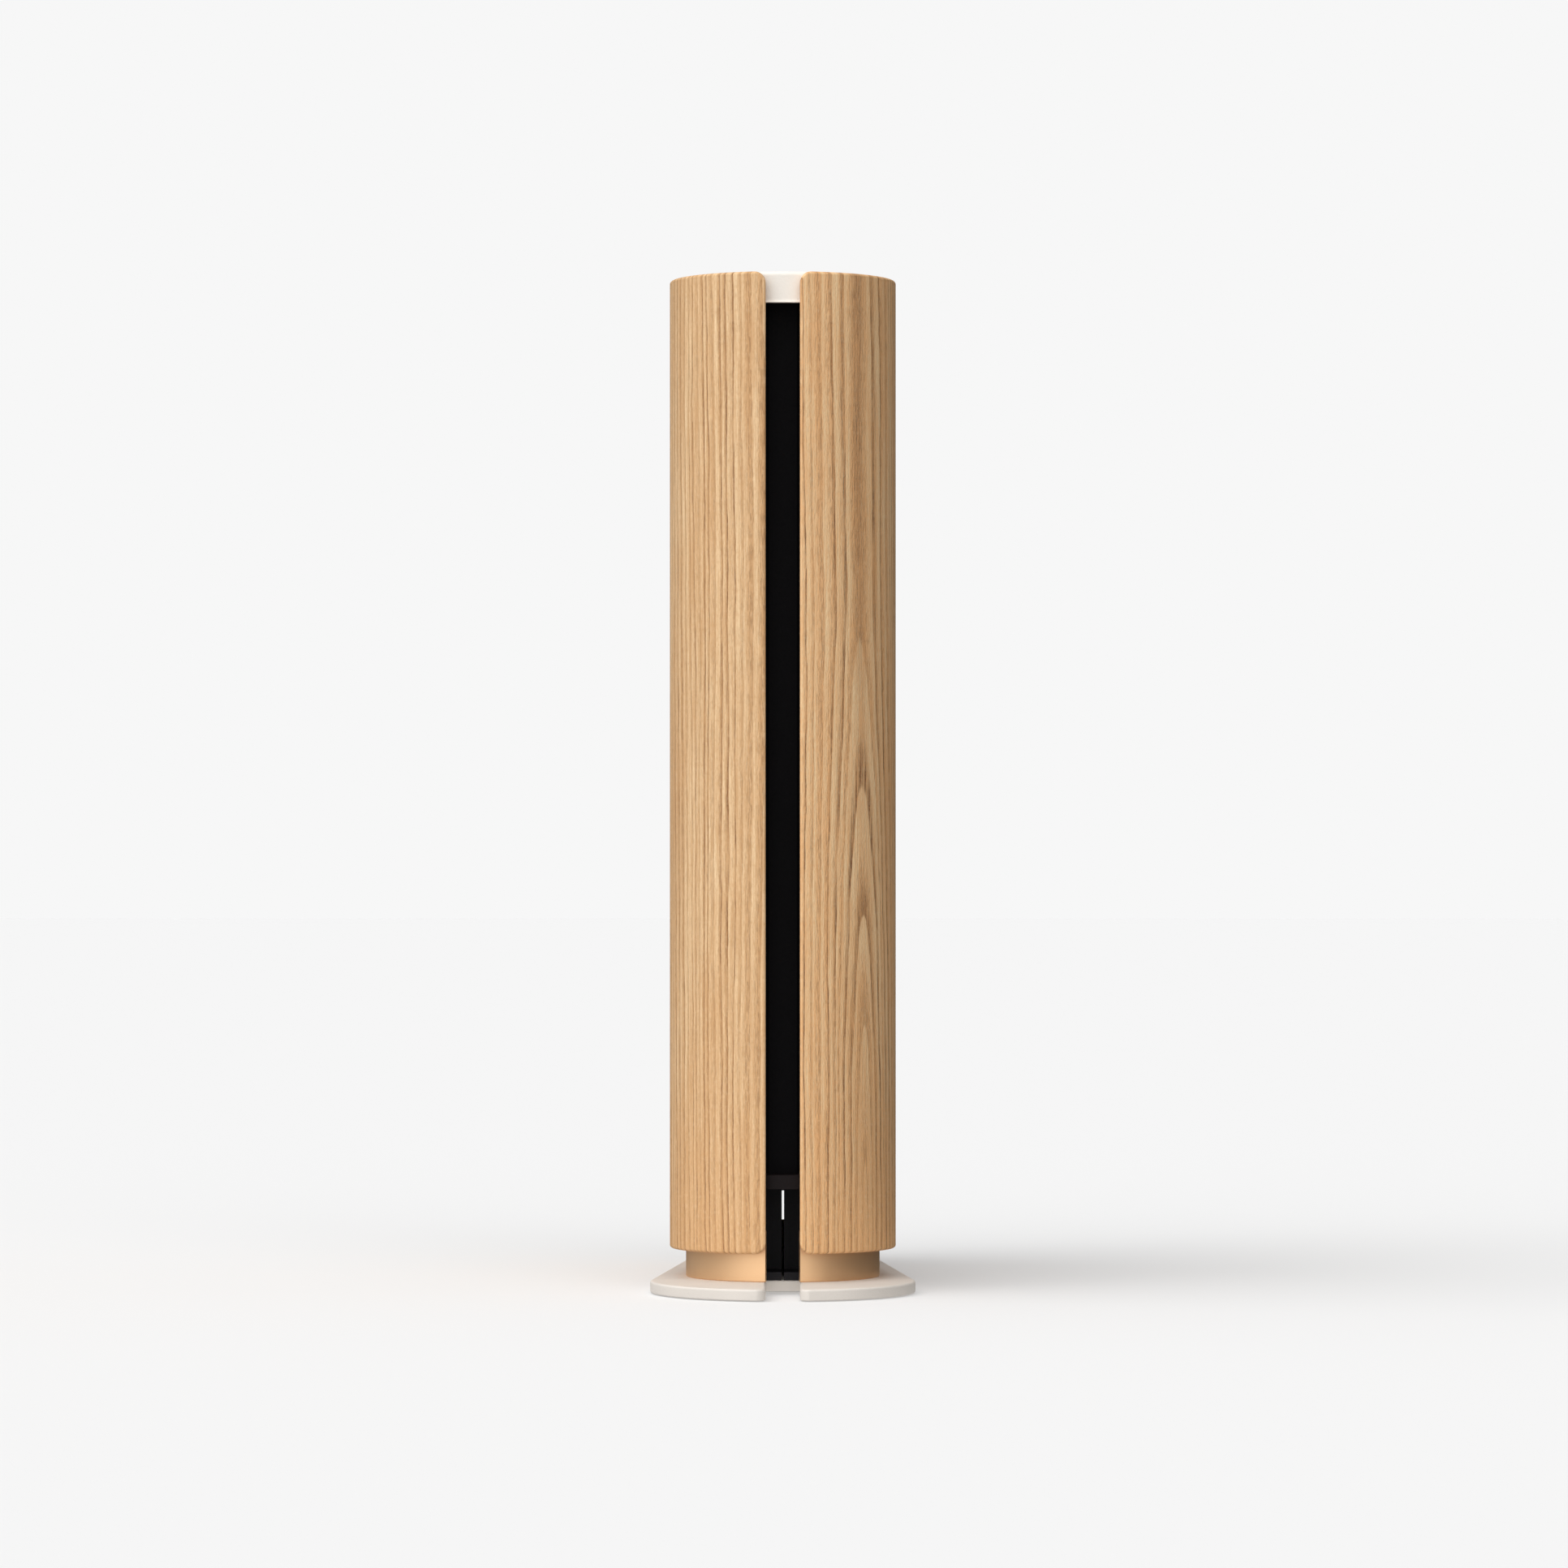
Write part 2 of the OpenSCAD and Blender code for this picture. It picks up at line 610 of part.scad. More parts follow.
module midrange_frame() color("#2c2c2e") difference() {
  facing_front(mid_z) turned([[12.2, front_face_y], [12.2, mid_front], [18, mid_front],
    [18, front_face_y], [13.2, front_face_y], [13.2, 47], [10, 42], [3, 42], [3, 42.8], [9.4, 42.8], [12.2, 47.4]]);
  block([14.4, 0, 0], [far, far, far]);
  block([-far, 0, 0], [-14.4, far, far]);
  for (p = mid_screws) translate([p[0], 0, p[1]]) rotate([-90, 0, 0]) rod(0, far, 1);
}

module midrange_magnet() color(steel) facing_front(mid_z) rod(32, 42, 12);

// Cone with its half-roll edge and its voice-coil former, pressed as one piece
module midrange_cone() color("#6a6a6c") facing_front(mid_z)
  turned([[5, 46.8], [5.4, 48.6], [9.6, 54.3], [11.9, 54.3], [11.9, 54.8], [9.2, 54.8], [4.4, 50.4],
    [0, 51.4], [0, 50.9], [4, 49.9], [4.6, 48.6], [4.6, 46.8]]);

module tweeter_frame() color("#2c2c2e") difference() {
  facing_front(tweeter_z) turned([[7.9, front_face_y - 2], [7.9, tweeter_front - 1],
    [8.6, tweeter_front], [14, tweeter_front], [14, front_face_y], [9.8, front_face_y],
    [9.8, front_face_y - 2]]);
  for (p = tweeter_screws) translate([p[0], 0, p[1]]) rotate([-90, 0, 0]) rod(0, far, 1);
}

module tweeter_magnet() color(steel)
  facing_front(tweeter_z) rod(front_face_y - 12, front_face_y - 2, 9.6);

// Soft dome on its coil ring
module tweeter_dome() color("silver") facing_front(tweeter_z)
  turned(concat([[7.2, front_face_y - 1.6]], [[7.2, front_face_y]],
    arc(0, front_face_y - 5, 8.77, 34.8, 90, 10), arc(0, front_face_y - 5, 8.4, 90, 37, 10),
    [[6.7, front_face_y - 1.6]]));

module driver_screws() color(steel) {
  for (p = mid_screws) translate([p[0], mid_front, p[1]])
    rotate([-90, 0, 0]) screw(4.6, 0.8, 1.5, 0.9);
  for (p = tweeter_screws) translate([p[0], tweeter_front, p[1]])
    rotate([-90, 0, 0]) screw(4.6, 0.8, 1.5, 0.9);
}

// ---- electronics, behind the upper enclosure ----

board_y = [-44, -4];
board_z = [153, 231];
board_x = -1.4;
board_t = 1.6;
spreader_x = 5;
connector_y = [-33, -22];
standoffs = [for (y = [board_y[0] + 4, board_y[1] - 4], z = [board_z[0] + 4, board_z[1] - 4]) [y, z]];

module main_board() color("darkgreen") difference() {
  block([board_x - board_t, board_y[0], board_z[0]], [board_x, board_y[1], board_z[1]]);
  for (p = standoffs) translate([0, p[0], p[1]]) rotate([0, 90, 0]) rod(-far, far, 1.1);
}

module heat_spreader() color(steel) difference() {
  union() {
    block([spreader_x, board_y[0], mid_deck_z + deck_t], [spreader_x + 2, board_y[1], top_deck_z]);
    for (p = standoffs) translate([0, p[0], p[1]]) rotate([0, 90, 0]) rod(board_x, spreader_x + eps, 2.4);
    for (i = [0:6])
      block([spreader_x + 2 - eps, -40.6 + i * 5, 160], [spreader_x + 9, -39.4 + i * 5, 226]);
  }
  for (p = standoffs) translate([0, p[0], p[1]]) rotate([0, 90, 0]) rod(-far, far, 0.9 + pilot);
}

module board_screws() color(steel) for (p = standoffs)
  translate([board_x - board_t, p[0], p[1]]) rotate([0, -90, 0]) screw(6.5, 0.9, 1.9, 1.1);

// Parts soldered to the main board: capacitors, coils, chips and sockets
module board_components() {
  face = board_x - board_t;
  color("#3b3b4a") for (i = [0:3]) translate([face, -36 + i * 9.4, 164])
    rotate([0, -90, 0]) rod(0, 10, 3.8);
  color("#505050") for (i = [0:2]) translate([face, -36 + i * 11, 178])
    block([-5, -3.5, -3.5], [0, 3.5, 3.5]);
  color("#202020") for (p = [[-34, 192, 5], [-18, 192, 6], [-26, 207, 7], [-10, 207, 4]])
    translate([face, p[0], p[1]]) block([-1.4, -p[2], -p[2]], [0, p[2], p[2]]);
  color("silver") translate([face, -20, 222]) block([-2.4, -9, -6], [0, 9, 6]);
  color("ivory") for (y = connector_y) translate([face, y, 153.8]) block([-5, 0, 0], [0, 8, 3.4]);
  color("white") translate([board_x, -24, 200]) block([0, -12, -12], [spreader_x - board_x, 12, 12]);
}

// Leads from board to drivers and socket, and the ribbon to the touch board
socket_lead = [[-7.6, -41, 36.1], [-7.6, -41, 60], [-6, -41, 100], [-6, -41, 140], [-5.5, -40, 150],
  [-5.5, -34, 151], [-5.5, -29, 151.4], [-5.5, -29, 153.8]];
woofer_lead = [[-5.5, -18, 153.8], [-5.5, -18, 151.8], [-7, -22, 151.2], [-8.2, -34, 151.2],
  [-8.4, -40, 150.6], [-8.4, -44, 146], [-8, -44, 132], [-8, -43, 125], [-8, -37, 124], [-8, -30, 124],
  [-8, -20, 118], [-2, -14.5, 109]];
mid_lead = [[-4.5, -6.5, 170], [-4.5, -3, 172], [-3, -2.2, 180], [0, -2, 188], [0, 0, 190], [0, 6, 190],
  [0, 16, 186], [0, 26, 180], [0, 31.4, 177]];
tweeter_lead = [[0, 7.5, 193], [0, 18, 200], [0, 30, 210], [0, 41.2, 213.4]];
touch_lead = [[-2.2, -12, 231.2], [-2.2, -12, 236], [-2.2, -12, 244], [-2.2, -12, 250.2]];

module wiring() {
  color("black") wire(socket_lead, 1.1);
  color("firebrick") wire(woofer_lead, 0.9);
  color("goldenrod") wire(mid_lead, 0.9);
  color("goldenrod") wire(tweeter_lead, 0.7);
  color("lightgray") wire(touch_lead, 0.6);
}

base_plate();
base_sole();
base_screws();
neck_band();
bay_left();
bay_right();
bay_screws();
floor_plate();
chin_trim();
power_socket();
socket_board();
socket_screws();
setup_button();
tact_switch();
mic_slider();
mic_switch_body();
left_cover();
right_cover();
left_cover_hooks();
right_cover_hooks();
rear_channel();
top_cap();
cap_screws();
touch_plate();
touch_board();
status_light();
mic_meshes();
grille_frame();
grille_fabric();
bass_enclosure();
woofer_baffle();
bass_gasket();
baffle_screws();
woofer_frame();
woofer_screws();
woofer_top_plate();
woofer_magnet();
woofer_yoke();
woofer_cone();
woofer_surround();
woofer_spider();
woofer_voice_coil();
mid_deck();
top_deck();
deck_screws();
upper_enclosure();
front_baffle();
front_gasket();
midrange_frame();
midrange_magnet();
midrange_cone();
tweeter_frame();
tweeter_magnet();
tweeter_dome();
driver_screws();
main_board();
heat_spreader();
board_components();
board_screws();
wiring();
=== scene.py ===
"""Looks of a slim, book-shaped shelf speaker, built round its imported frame. Metres, +Z up, -Y is the rear."""

import json
import math

import bmesh
import bpy
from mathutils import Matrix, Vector


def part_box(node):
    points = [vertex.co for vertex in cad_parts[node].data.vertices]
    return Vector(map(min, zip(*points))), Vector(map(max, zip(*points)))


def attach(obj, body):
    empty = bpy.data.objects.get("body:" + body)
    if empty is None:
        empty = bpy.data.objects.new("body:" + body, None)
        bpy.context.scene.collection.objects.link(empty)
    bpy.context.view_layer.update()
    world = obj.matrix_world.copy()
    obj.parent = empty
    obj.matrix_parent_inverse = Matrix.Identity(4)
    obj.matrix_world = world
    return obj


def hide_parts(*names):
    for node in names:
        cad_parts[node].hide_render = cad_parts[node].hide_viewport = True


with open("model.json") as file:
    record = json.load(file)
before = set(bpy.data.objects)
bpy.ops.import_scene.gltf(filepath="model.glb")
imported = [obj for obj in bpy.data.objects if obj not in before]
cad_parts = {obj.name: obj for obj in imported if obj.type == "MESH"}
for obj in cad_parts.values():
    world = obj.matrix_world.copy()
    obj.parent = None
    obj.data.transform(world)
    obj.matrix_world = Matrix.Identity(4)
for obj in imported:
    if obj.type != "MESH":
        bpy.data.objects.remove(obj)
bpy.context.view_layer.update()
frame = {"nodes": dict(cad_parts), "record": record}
MM = 0.001
BODY = "body"


# ---------------------------------------------------------------- sizes, from the frame

def low(node):
    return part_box(node)[0]


def high(node):
    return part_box(node)[1]


REAR_R = high("right_cover").x
SLOT_HALF = low("right_cover").x
REAR_Y = low("right_cover").y + math.sqrt(REAR_R**2 - SLOT_HALF**2)
FRONT_R = 19.3 * MM
FRONT_Y = high("grille_fabric").y + 0.2 * MM - FRONT_R
COVER_T = 3 * MM
COVER_CORNER = 2.9 * MM
NECK_OFF = REAR_R - high("neck_band").x
NECK_T = 1.2 * MM
CAP_OFF = REAR_R - high("top_cap").x
TOTAL_H = high("top_cap").z
BASE_REAR_R = high("base_plate").x
BASE_FRONT_R = 22.1 * MM
NOTCH_CORNER = 2.5 * MM
NOTCH_END_Y = -50.4 * MM
BASE_REAR_Y = low("base_plate").y + math.sqrt(BASE_REAR_R**2 - (SLOT_HALF + NOTCH_CORNER) ** 2)
BASE_FRONT_Y = high("base_plate").y - BASE_FRONT_R
TOUCH_REAR_R = REAR_R - 11 * MM
TOUCH_FRONT_R = 11.5 * MM
TOUCH_FRONT_Y = 34 * MM


class Capsule:
    """A tapered capsule outline. at() walks its right half from the rearmost point to the foremost."""

    def __init__(self, rear_r, rear_y, front_r, front_y):
        self.rear_r, self.rear_y, self.front_r, self.front_y = rear_r, rear_y, front_r, front_y
        gap = front_y - rear_y
        self.lean = math.asin((rear_r - front_r) / gap)
        self.rear_len = rear_r * (math.pi / 2 + self.lean)
        self.side_len = math.sqrt(gap**2 - (rear_r - front_r) ** 2)
        self.half = self.rear_len + self.side_len + front_r * (math.pi / 2 - self.lean)

    def at(self, u):
        """(x, y, normal x, normal y) at arc length u."""
        if u < self.rear_len:
            turn, radius, centre_y, along = u / self.rear_r, self.rear_r, self.rear_y, 0
        elif u < self.rear_len + self.side_len:
            turn, radius, centre_y = math.pi / 2 + self.lean, self.rear_r, self.rear_y
            along = u - self.rear_len
        else:
            turn = math.pi / 2 + self.lean + (u - self.rear_len - self.side_len) / self.front_r
            radius, centre_y, along = self.front_r, self.front_y, 0
        nx, ny = math.sin(turn), -math.cos(turn)
        return nx * radius - ny * along, centre_y + ny * radius + nx * along, nx, ny

    def stations(self, rear=40, side=16, front=26):
        """Arc lengths along the right half, so many on its rear curve, side and front curve."""
        marks = [(0, self.rear_len, rear), (self.rear_len, self.rear_len + self.side_len, side),
                 (self.rear_len + self.side_len, self.half, front)]
        out = [start + (end - start) * i / count for start, end, count in marks for i in range(count)]
        return out + [self.half]

    def loop(self):
        """The whole outline as (x, y, normal x, normal y), anticlockwise from the rearmost point."""
        right = [self.at(u) for u in self.stations()]
        left = [(-x, y, -nx, ny) for x, y, nx, ny in right[-2:0:-1]]
        return right + left


BODY_LINE = Capsule(REAR_R, REAR_Y, FRONT_R, FRONT_Y)
BASE_LINE = Capsule(BASE_REAR_R, BASE_REAR_Y, BASE_FRONT_R, BASE_FRONT_Y)
TOUCH_LINE = Capsule(TOUCH_REAR_R, REAR_Y, TOUCH_FRONT_R, TOUCH_FRONT_Y)


# ---------------------------------------------------------------- node graphs

class Graph:
    """A short way to write a material: put() adds a node and returns its first output."""

    def __init__(self, name):
        self.material = bpy.data.materials.new(name)
        self.material.use_nodes = True
        self.tree = self.material.node_tree
        self.tree.nodes.clear()
        self.shader = self.tree.nodes.new("ShaderNodeBsdfPrincipled")
        out = self.tree.nodes.new("ShaderNodeOutputMaterial")
        self.tree.links.new(self.shader.outputs[0], out.inputs["Surface"])

    def feed(self, socket, value):
        if isinstance(value, bpy.types.NodeSocket):
            self.tree.links.new(value, socket)
        elif value is not None:
            socket.default_value = value

    def put(self, kind, inputs=(), output=0, **settings):
        node = self.tree.nodes.new("ShaderNode" + kind)
        for key, value in settings.items():
            setattr(node, key, value)
        pairs = inputs.items() if isinstance(inputs, dict) else enumerate(inputs)
        for key, value in pairs:
            self.feed(node.inputs[key], value)
        return node.outputs[output]

    def math(self, operation, *inputs):
        return self.put("Math", inputs, operation=operation)

    def add(self, a, b):
        return self.math("ADD", a, b)

    def times(self, a, b):
        return self.math("MULTIPLY", a, b)

    def span(self, value, a, b, c=0.0, d=1.0):
        """value from a..b mapped smoothly to c..d."""
        return self.put("MapRange", [value, a, b, c, d], interpolation_type="SMOOTHSTEP")

    def where(self, scale=(1, 1, 1), uv=None):
        """Places on the object in its own frame, or on its own unrolled surface, stretched by scale."""
        if uv:
            source = self.put("UVMap", uv_map=uv)
        else:
            source = self.put("TexCoord", output=3)
        return self.put("VectorMath", [source, scale], operation="MULTIPLY")

    def noise(self, vector, scale, detail=2.0, rough=0.5, distortion=0.0):
        return self.put("TexNoise", {"Vector": vector, "Scale": scale, "Detail": detail, "Roughness": rough,
                                     "Distortion": distortion})

    def mix(self, amount, a, b):
        node = self.tree.nodes.new("ShaderNodeMix")
        node.data_type = "RGBA"
        self.feed(node.inputs[0], amount)
        self.feed(node.inputs[6], a)
        self.feed(node.inputs[7], b)
        return node.outputs[2]

    def bump(self, height, distance, strength=1.0):
        return self.put("Bump", {"Height": height, "Distance": distance, "Strength": strength})

    def surface(self, **values):
        names = {"color": "Base Color", "rough": "Roughness", "metal": "Metallic", "normal": "Normal",
                 "coat": "Coat Weight", "coat_rough": "Coat Roughness", "spec": "Specular IOR Level",
                 "sheen": "Sheen Weight", "sheen_rough": "Sheen Roughness", "glow": "Emission Strength",
                 "glow_color": "Emission Color"}
        for key, value in values.items():
            self.feed(self.shader.inputs[names[key]], value)
        return self.material


def rgb(r, g, b):
    """A linear colour from 0-255 display values."""
    def linear(c):
        c /= 255
        return c / 12.92 if c <= 0.04045 else ((c + 0.055) / 1.055) ** 2.4
    return (linear(r), linear(g), linear(b), 1)


def shade(color, by):
    return tuple(c * by for c in color[:3]) + (1,)


# ---------------------------------------------------------------- materials

RING = 1.75 * MM       # usual spacing of the growth rings where they meet the surface
RING_SPREAD = 7 * MM   # distance over which wide and narrow rings take turns
SINK_TOP = 170 * MM    # height above which the heart runs level with the surface
CORE_HALF = 3.2 * MM   # half the width of the dark wood over the heart
CORE_RISE = 90 * MM, 180 * MM  # heights between which it appears
FOOT_SHADE_TOP = 75 * MM        # height up to which painted shade darkens the wood toward its foot


def oak(name, heart, heart_depth, sink, lean, swell, calm, core, tones):
    """Open-pored oak veneer, cut flat from a log whose heart runs up the cover at arc length heart.

    The heart is heart_depth under the cover's bottom edge and sink deeper from SINK_TOP up. lean is how far
    it strays sideways, and swell how far its depth comes and goes. The lines are faint over the width calm
    beside the slot, and core is how dark the wood is over the heart near the top. tones are pale, brown
    and dark.
    """
    pale, brown, dark = tones
    g = Graph(name)
    flat = g.where((1, 1, 0), uv="grain")
    along, up = [g.put("SeparateXYZ", [flat], output=i) for i in range(2)]

    def waver(width, height, size, detail=2.0):
        """A slow sideways wander of the grain, changing over width across it and height along it."""
        wander = g.noise(g.where((1 / width, 1 / height, 0), uv="grain"), 1.0, detail, 0.5)
        return g.times(g.math("SUBTRACT", wander, 0.5), size)

    place = g.add(along, waver(16 * MM, 240 * MM, 4 * MM))
    place = g.add(place, waver(6 * MM, 32 * MM, 1.5 * MM, 3.0))
    place = g.add(place, waver(1.8 * MM, 9 * MM, 0.42 * MM))
    off = g.math("SUBTRACT", place, g.add(g.times(up, lean), heart))
    depth = g.add(g.span(up, 0.0, SINK_TOP, heart_depth, heart_depth + sink), waver(30 * MM, 60 * MM, swell))
    radius = g.math("SQRT", g.add(g.math("POWER", off, 2.0), g.math("POWER", depth, 2.0)))
    spread = g.put("TexNoise", {"W": g.math("DIVIDE", radius, RING_SPREAD), "Scale": 1.0, "Detail": 1.0},
                   noise_dimensions="1D")
    rings = g.add(g.math("DIVIDE", radius, RING), g.times(spread, 2.2))
    part, ring_no = g.math("FRACT", rings), g.math("FLOOR", rings)

    def own(seed, low_value, high_value):
        """A number that each ring keeps along its whole length."""
        pick = g.put("TexWhiteNoise", {"W": g.add(ring_no, seed)}, noise_dimensions="1D")
        return g.put("MapRange", [pick, 0.0, 1.0, low_value, high_value])

    def streaks(width, height, start, full, detail=2.0):
        """Marks of about that width and height that run with the grain."""
        noise = g.noise(g.where((1 / width, 1 / height, 0), uv="grain"), 1.0, detail, 0.58)
        return g.span(noise, start, full)

    rise = g.span(part, 0.0, 0.05)
    band = g.times(rise, g.span(part, own(3.1, 0.10, 0.45), own(7.9, 0.60, 1.0), 1.0, 0.0))
    band = g.times(band, own(31.7, 0.25, 1.0))
    line = g.times(rise, g.span(part, 0.10, own(11.3, 0.28, 0.70), 1.0, 0.0))
    line = g.times(g.times(line, own(5.2, 0.3, 1.1)),
                   g.add(g.times(streaks(0.6 * MM, 18 * MM, 0.32, 0.62), 0.7), 0.3))
    line = g.times(line, g.span(along, 0.0, calm, 0.3, 1.0))
    pores = g.times(streaks(0.28 * MM, 4.0 * MM, 0.49, 0.60),
                    g.add(g.times(g.math("MAXIMUM", band, line), 0.95), 0.14))
    fibre = streaks(0.45 * MM, 18 * MM, 0.38, 0.64, 3.0)
    thread = streaks(0.22 * MM, 5 * MM, 0.36, 0.68, 3.0)
    fleck = streaks(0.42 * MM, 1.2 * MM, 0.25, 0.75, 3.0)
    stain = streaks(3.2 * MM, 70 * MM, 0.36, 0.66)
    patch = streaks(14 * MM, 80 * MM, 0.32, 0.70)
    over_heart = g.times(g.span(g.math("ABSOLUTE", off), CORE_HALF, 0.0), g.span(up, *CORE_RISE))

    color = g.mix(g.times(band, 0.85), pale, brown)
    color = g.mix(g.times(stain, 0.40), color, brown)
    color = g.mix(g.times(patch, 0.26), color, WOOD_WARM)
    # Painted shade: the wood darkens toward its foot.
    color = g.mix(g.span(up, FOOT_SHADE_TOP, 0.0, 0.0, 0.5), color, WOOD_FOOT_SHADE)
    color = g.mix(g.times(over_heart, core), color, dark)
    color = g.mix(g.times(line, 0.92), color, dark)
    color = g.mix(g.times(pores, 0.50), color, WOOD_PORE)
    # Painted highlight: the palest flecks are mixed toward a glint colour.
    color = g.mix(g.span(fleck, 0.5, 1.0, 0.0, 0.20), color, WOOD_PAINTED_GLINT)
    color = g.mix(g.span(fleck, 0.45, 0.0, 0.0, 0.36), color, brown)
    color = g.mix(g.times(fibre, 0.50), color, brown)
    color = g.mix(g.times(thread, 0.28), color, brown)
    height = g.math("SUBTRACT", g.add(g.times(fleck, 0.40), g.times(fibre, 0.25)),
                    g.add(g.times(pores, 0.60), g.times(line, 0.35)))
    return g.surface(color=color, rough=g.put("MapRange", [fleck, 0.0, 1.0, 0.62, 0.50]), spec=0.22,
                     normal=g.bump(height, 0.16 * MM, 0.9))


# Colour of the painted glints on the palest flecks.
WOOD_PAINTED_GLINT = rgb(255, 230, 188)
WOOD_WARM = rgb(229, 171, 112)
WOOD_PORE = rgb(122, 76, 46)
# Colour of the painted shade toward the covers' foot.
WOOD_FOOT_SHADE = rgb(206, 154, 102)
LEFT_TONES = rgb(255, 223, 178), rgb(211, 161, 110), rgb(142, 93, 54)
# The right cover's tones are partly its own redder grain and partly painted light: its brown is lighter than
# the left cover's, so that this cover, turned away from the light, reads brighter.
RIGHT_TONES_WITH_PAINTED_LIGHT = rgb(255, 224, 177), rgb(240, 180, 122), rgb(108, 62, 34)


def fine_grained(name, color, rough=0.5, grain=0.45 * MM, depth=0.03 * MM, vary=0.05, **more):
    """Moulded or painted skin: a fine pebble, with slight changes in tone and gloss."""
    g = Graph(name)
    pebble = g.noise(g.where(), 1 / grain, 2, 0.6)
    cloud = g.noise(g.where(), 55, 3, 0.5)
    tone = g.mix(g.span(cloud, 0.3, 0.7), shade(color, 1 - vary), shade(color, 1 + vary))
    tone = g.mix(g.span(pebble, 0.25, 0.75, 0.0, 0.22), tone, shade(color, 1 - 2 * vary))
    gloss = g.span(pebble, 0.2, 0.8, rough - 0.05, rough + 0.07)
    return g.surface(color=tone, rough=gloss, normal=g.bump(pebble, depth, 0.8), **more)


def blasted_metal(name, color, rough=0.34, grain=0.16 * MM, depth=0.006 * MM, brush=None):
    """Satin metal: bead-blasted, or brushed along one axis when brush gives the stretch."""
    g = Graph(name)
    stretch = brush or (1, 1, 1)
    sparkle = g.noise(g.where(stretch), 1 / grain, 2, 0.6)
    cloud = g.noise(g.where(), 30, 2, 0.5)
    tone = g.mix(g.span(cloud, 0.3, 0.7), shade(color, 0.96), shade(color, 1.03))
    return g.surface(color=tone, metal=1.0, rough=g.span(sparkle, 0.2, 0.8, rough - 0.05, rough + 0.08),
                     normal=g.bump(sparkle, depth, 0.5))


def speaker_knit(name):
    """Two-tone yarn over the modelled stitches: fibres along each stitch, darker between them."""
    g = Graph(name)
    fibre = g.noise(g.where((5200, 1500, 0), uv="grain"), 1.0, 3, 0.65)
    blend = g.noise(g.where((520, 900, 0), uv="grain"), 1.0, 2, 0.6)
    hollow = g.put("Attribute", output=2, attribute_name="stitch")
    yarn = g.mix(g.span(blend, 0.38, 0.62), rgb(132, 118, 102), rgb(186, 170, 150))
    yarn = g.mix(g.span(fibre, 0.3, 0.7, 0.0, 0.35), yarn, rgb(206, 192, 172))
    tone = g.mix(g.span(hollow, 0.05, 0.75), rgb(62, 53, 45), yarn)
    return g.surface(color=tone, rough=0.88, sheen=0.25, sheen_rough=0.5, spec=0.2,
                     normal=g.bump(fibre, 0.05 * MM, 0.8))


def circuit_board(name):
    """Green mask over copper tracks that run on a grid."""
    g = Graph(name)
    cells = g.put("TexBrick", {"Vector": g.where(), "Scale": 160.0, "Mortar Size": 0.012,
                               "Color1": rgb(16, 66, 40), "Color2": rgb(20, 78, 46),
                               "Mortar": rgb(52, 116, 66)})
    weave = g.noise(g.where(), 900, 2, 0.5)
    tone = g.mix(g.span(weave, 0.3, 0.7, 0.0, 0.25), cells, rgb(10, 52, 32))
    return g.surface(color=tone, rough=0.32, coat=0.4, coat_rough=0.15, normal=g.bump(weave, 0.02 * MM, 0.5))


def woven_cloth(name, color, pitch=0.7 * MM):
    """Plain-woven cloth, such as a resin-dipped driver suspension."""
    g = Graph(name)
    spot = g.where((math.pi / pitch,) * 3)
    x, y, z = [g.put("SeparateXYZ", [spot], output=i) for i in range(3)]
    warp = g.math("SINE", y)
    weft = g.math("SINE", z)
    threads = g.times(warp, weft)
    tone = g.mix(g.span(threads, -1, 1), shade(color, 0.6), shade(color, 1.15))
    return g.surface(color=tone, rough=0.8, normal=g.bump(threads, 0.08 * MM, 0.7))


def pressed_fibre(name, color):
    """Speaker-cone paper: long mixed fibres, matt."""
    g = Graph(name)
    fibres = g.noise(g.where(), 1300, 4, 0.7, 1.5)
    tone = g.mix(g.span(fibres, 0.35, 0.7), shade(color, 0.75), shade(color, 1.6))
    return g.surface(color=tone, rough=0.82, normal=g.bump(fibres, 0.06 * MM, 0.8))


def wound_wire(name, color, pitch=0.3 * MM):
    """Enamelled wire wound round the X axis."""
    g = Graph(name)
    turns = g.put("SeparateXYZ", [g.where((math.pi / pitch, 1, 1))], output=0)
    ridge = g.math("ABSOLUTE", g.math("SINE", turns))
    tone = g.mix(ridge, shade(color, 0.35), color)
    return g.surface(color=tone, metal=1.0, rough=0.28, normal=g.bump(ridge, 0.1 * MM, 0.9))


def mixed_parts(name, tones, cell):
    """Small moulded pieces that differ in colour from one to the next."""
    g = Graph(name)
    cells = g.put("TexVoronoi", {"Vector": g.where(), "Scale": 1 / cell}, output=1)
    pick = g.put("SeparateColor", [cells])
    tone = g.mix(g.span(pick, 0.35, 0.4), tones[0], tones[1])
    tone = g.mix(g.span(pick, 0.75, 0.8), tone, tones[2])
    skin = g.noise(g.where(), 1600, 2, 0.5)
    return g.surface(color=tone, rough=g.span(skin, 0.3, 0.7, 0.35, 0.5), normal=g.bump(skin, 0.02 * MM, 0.5))


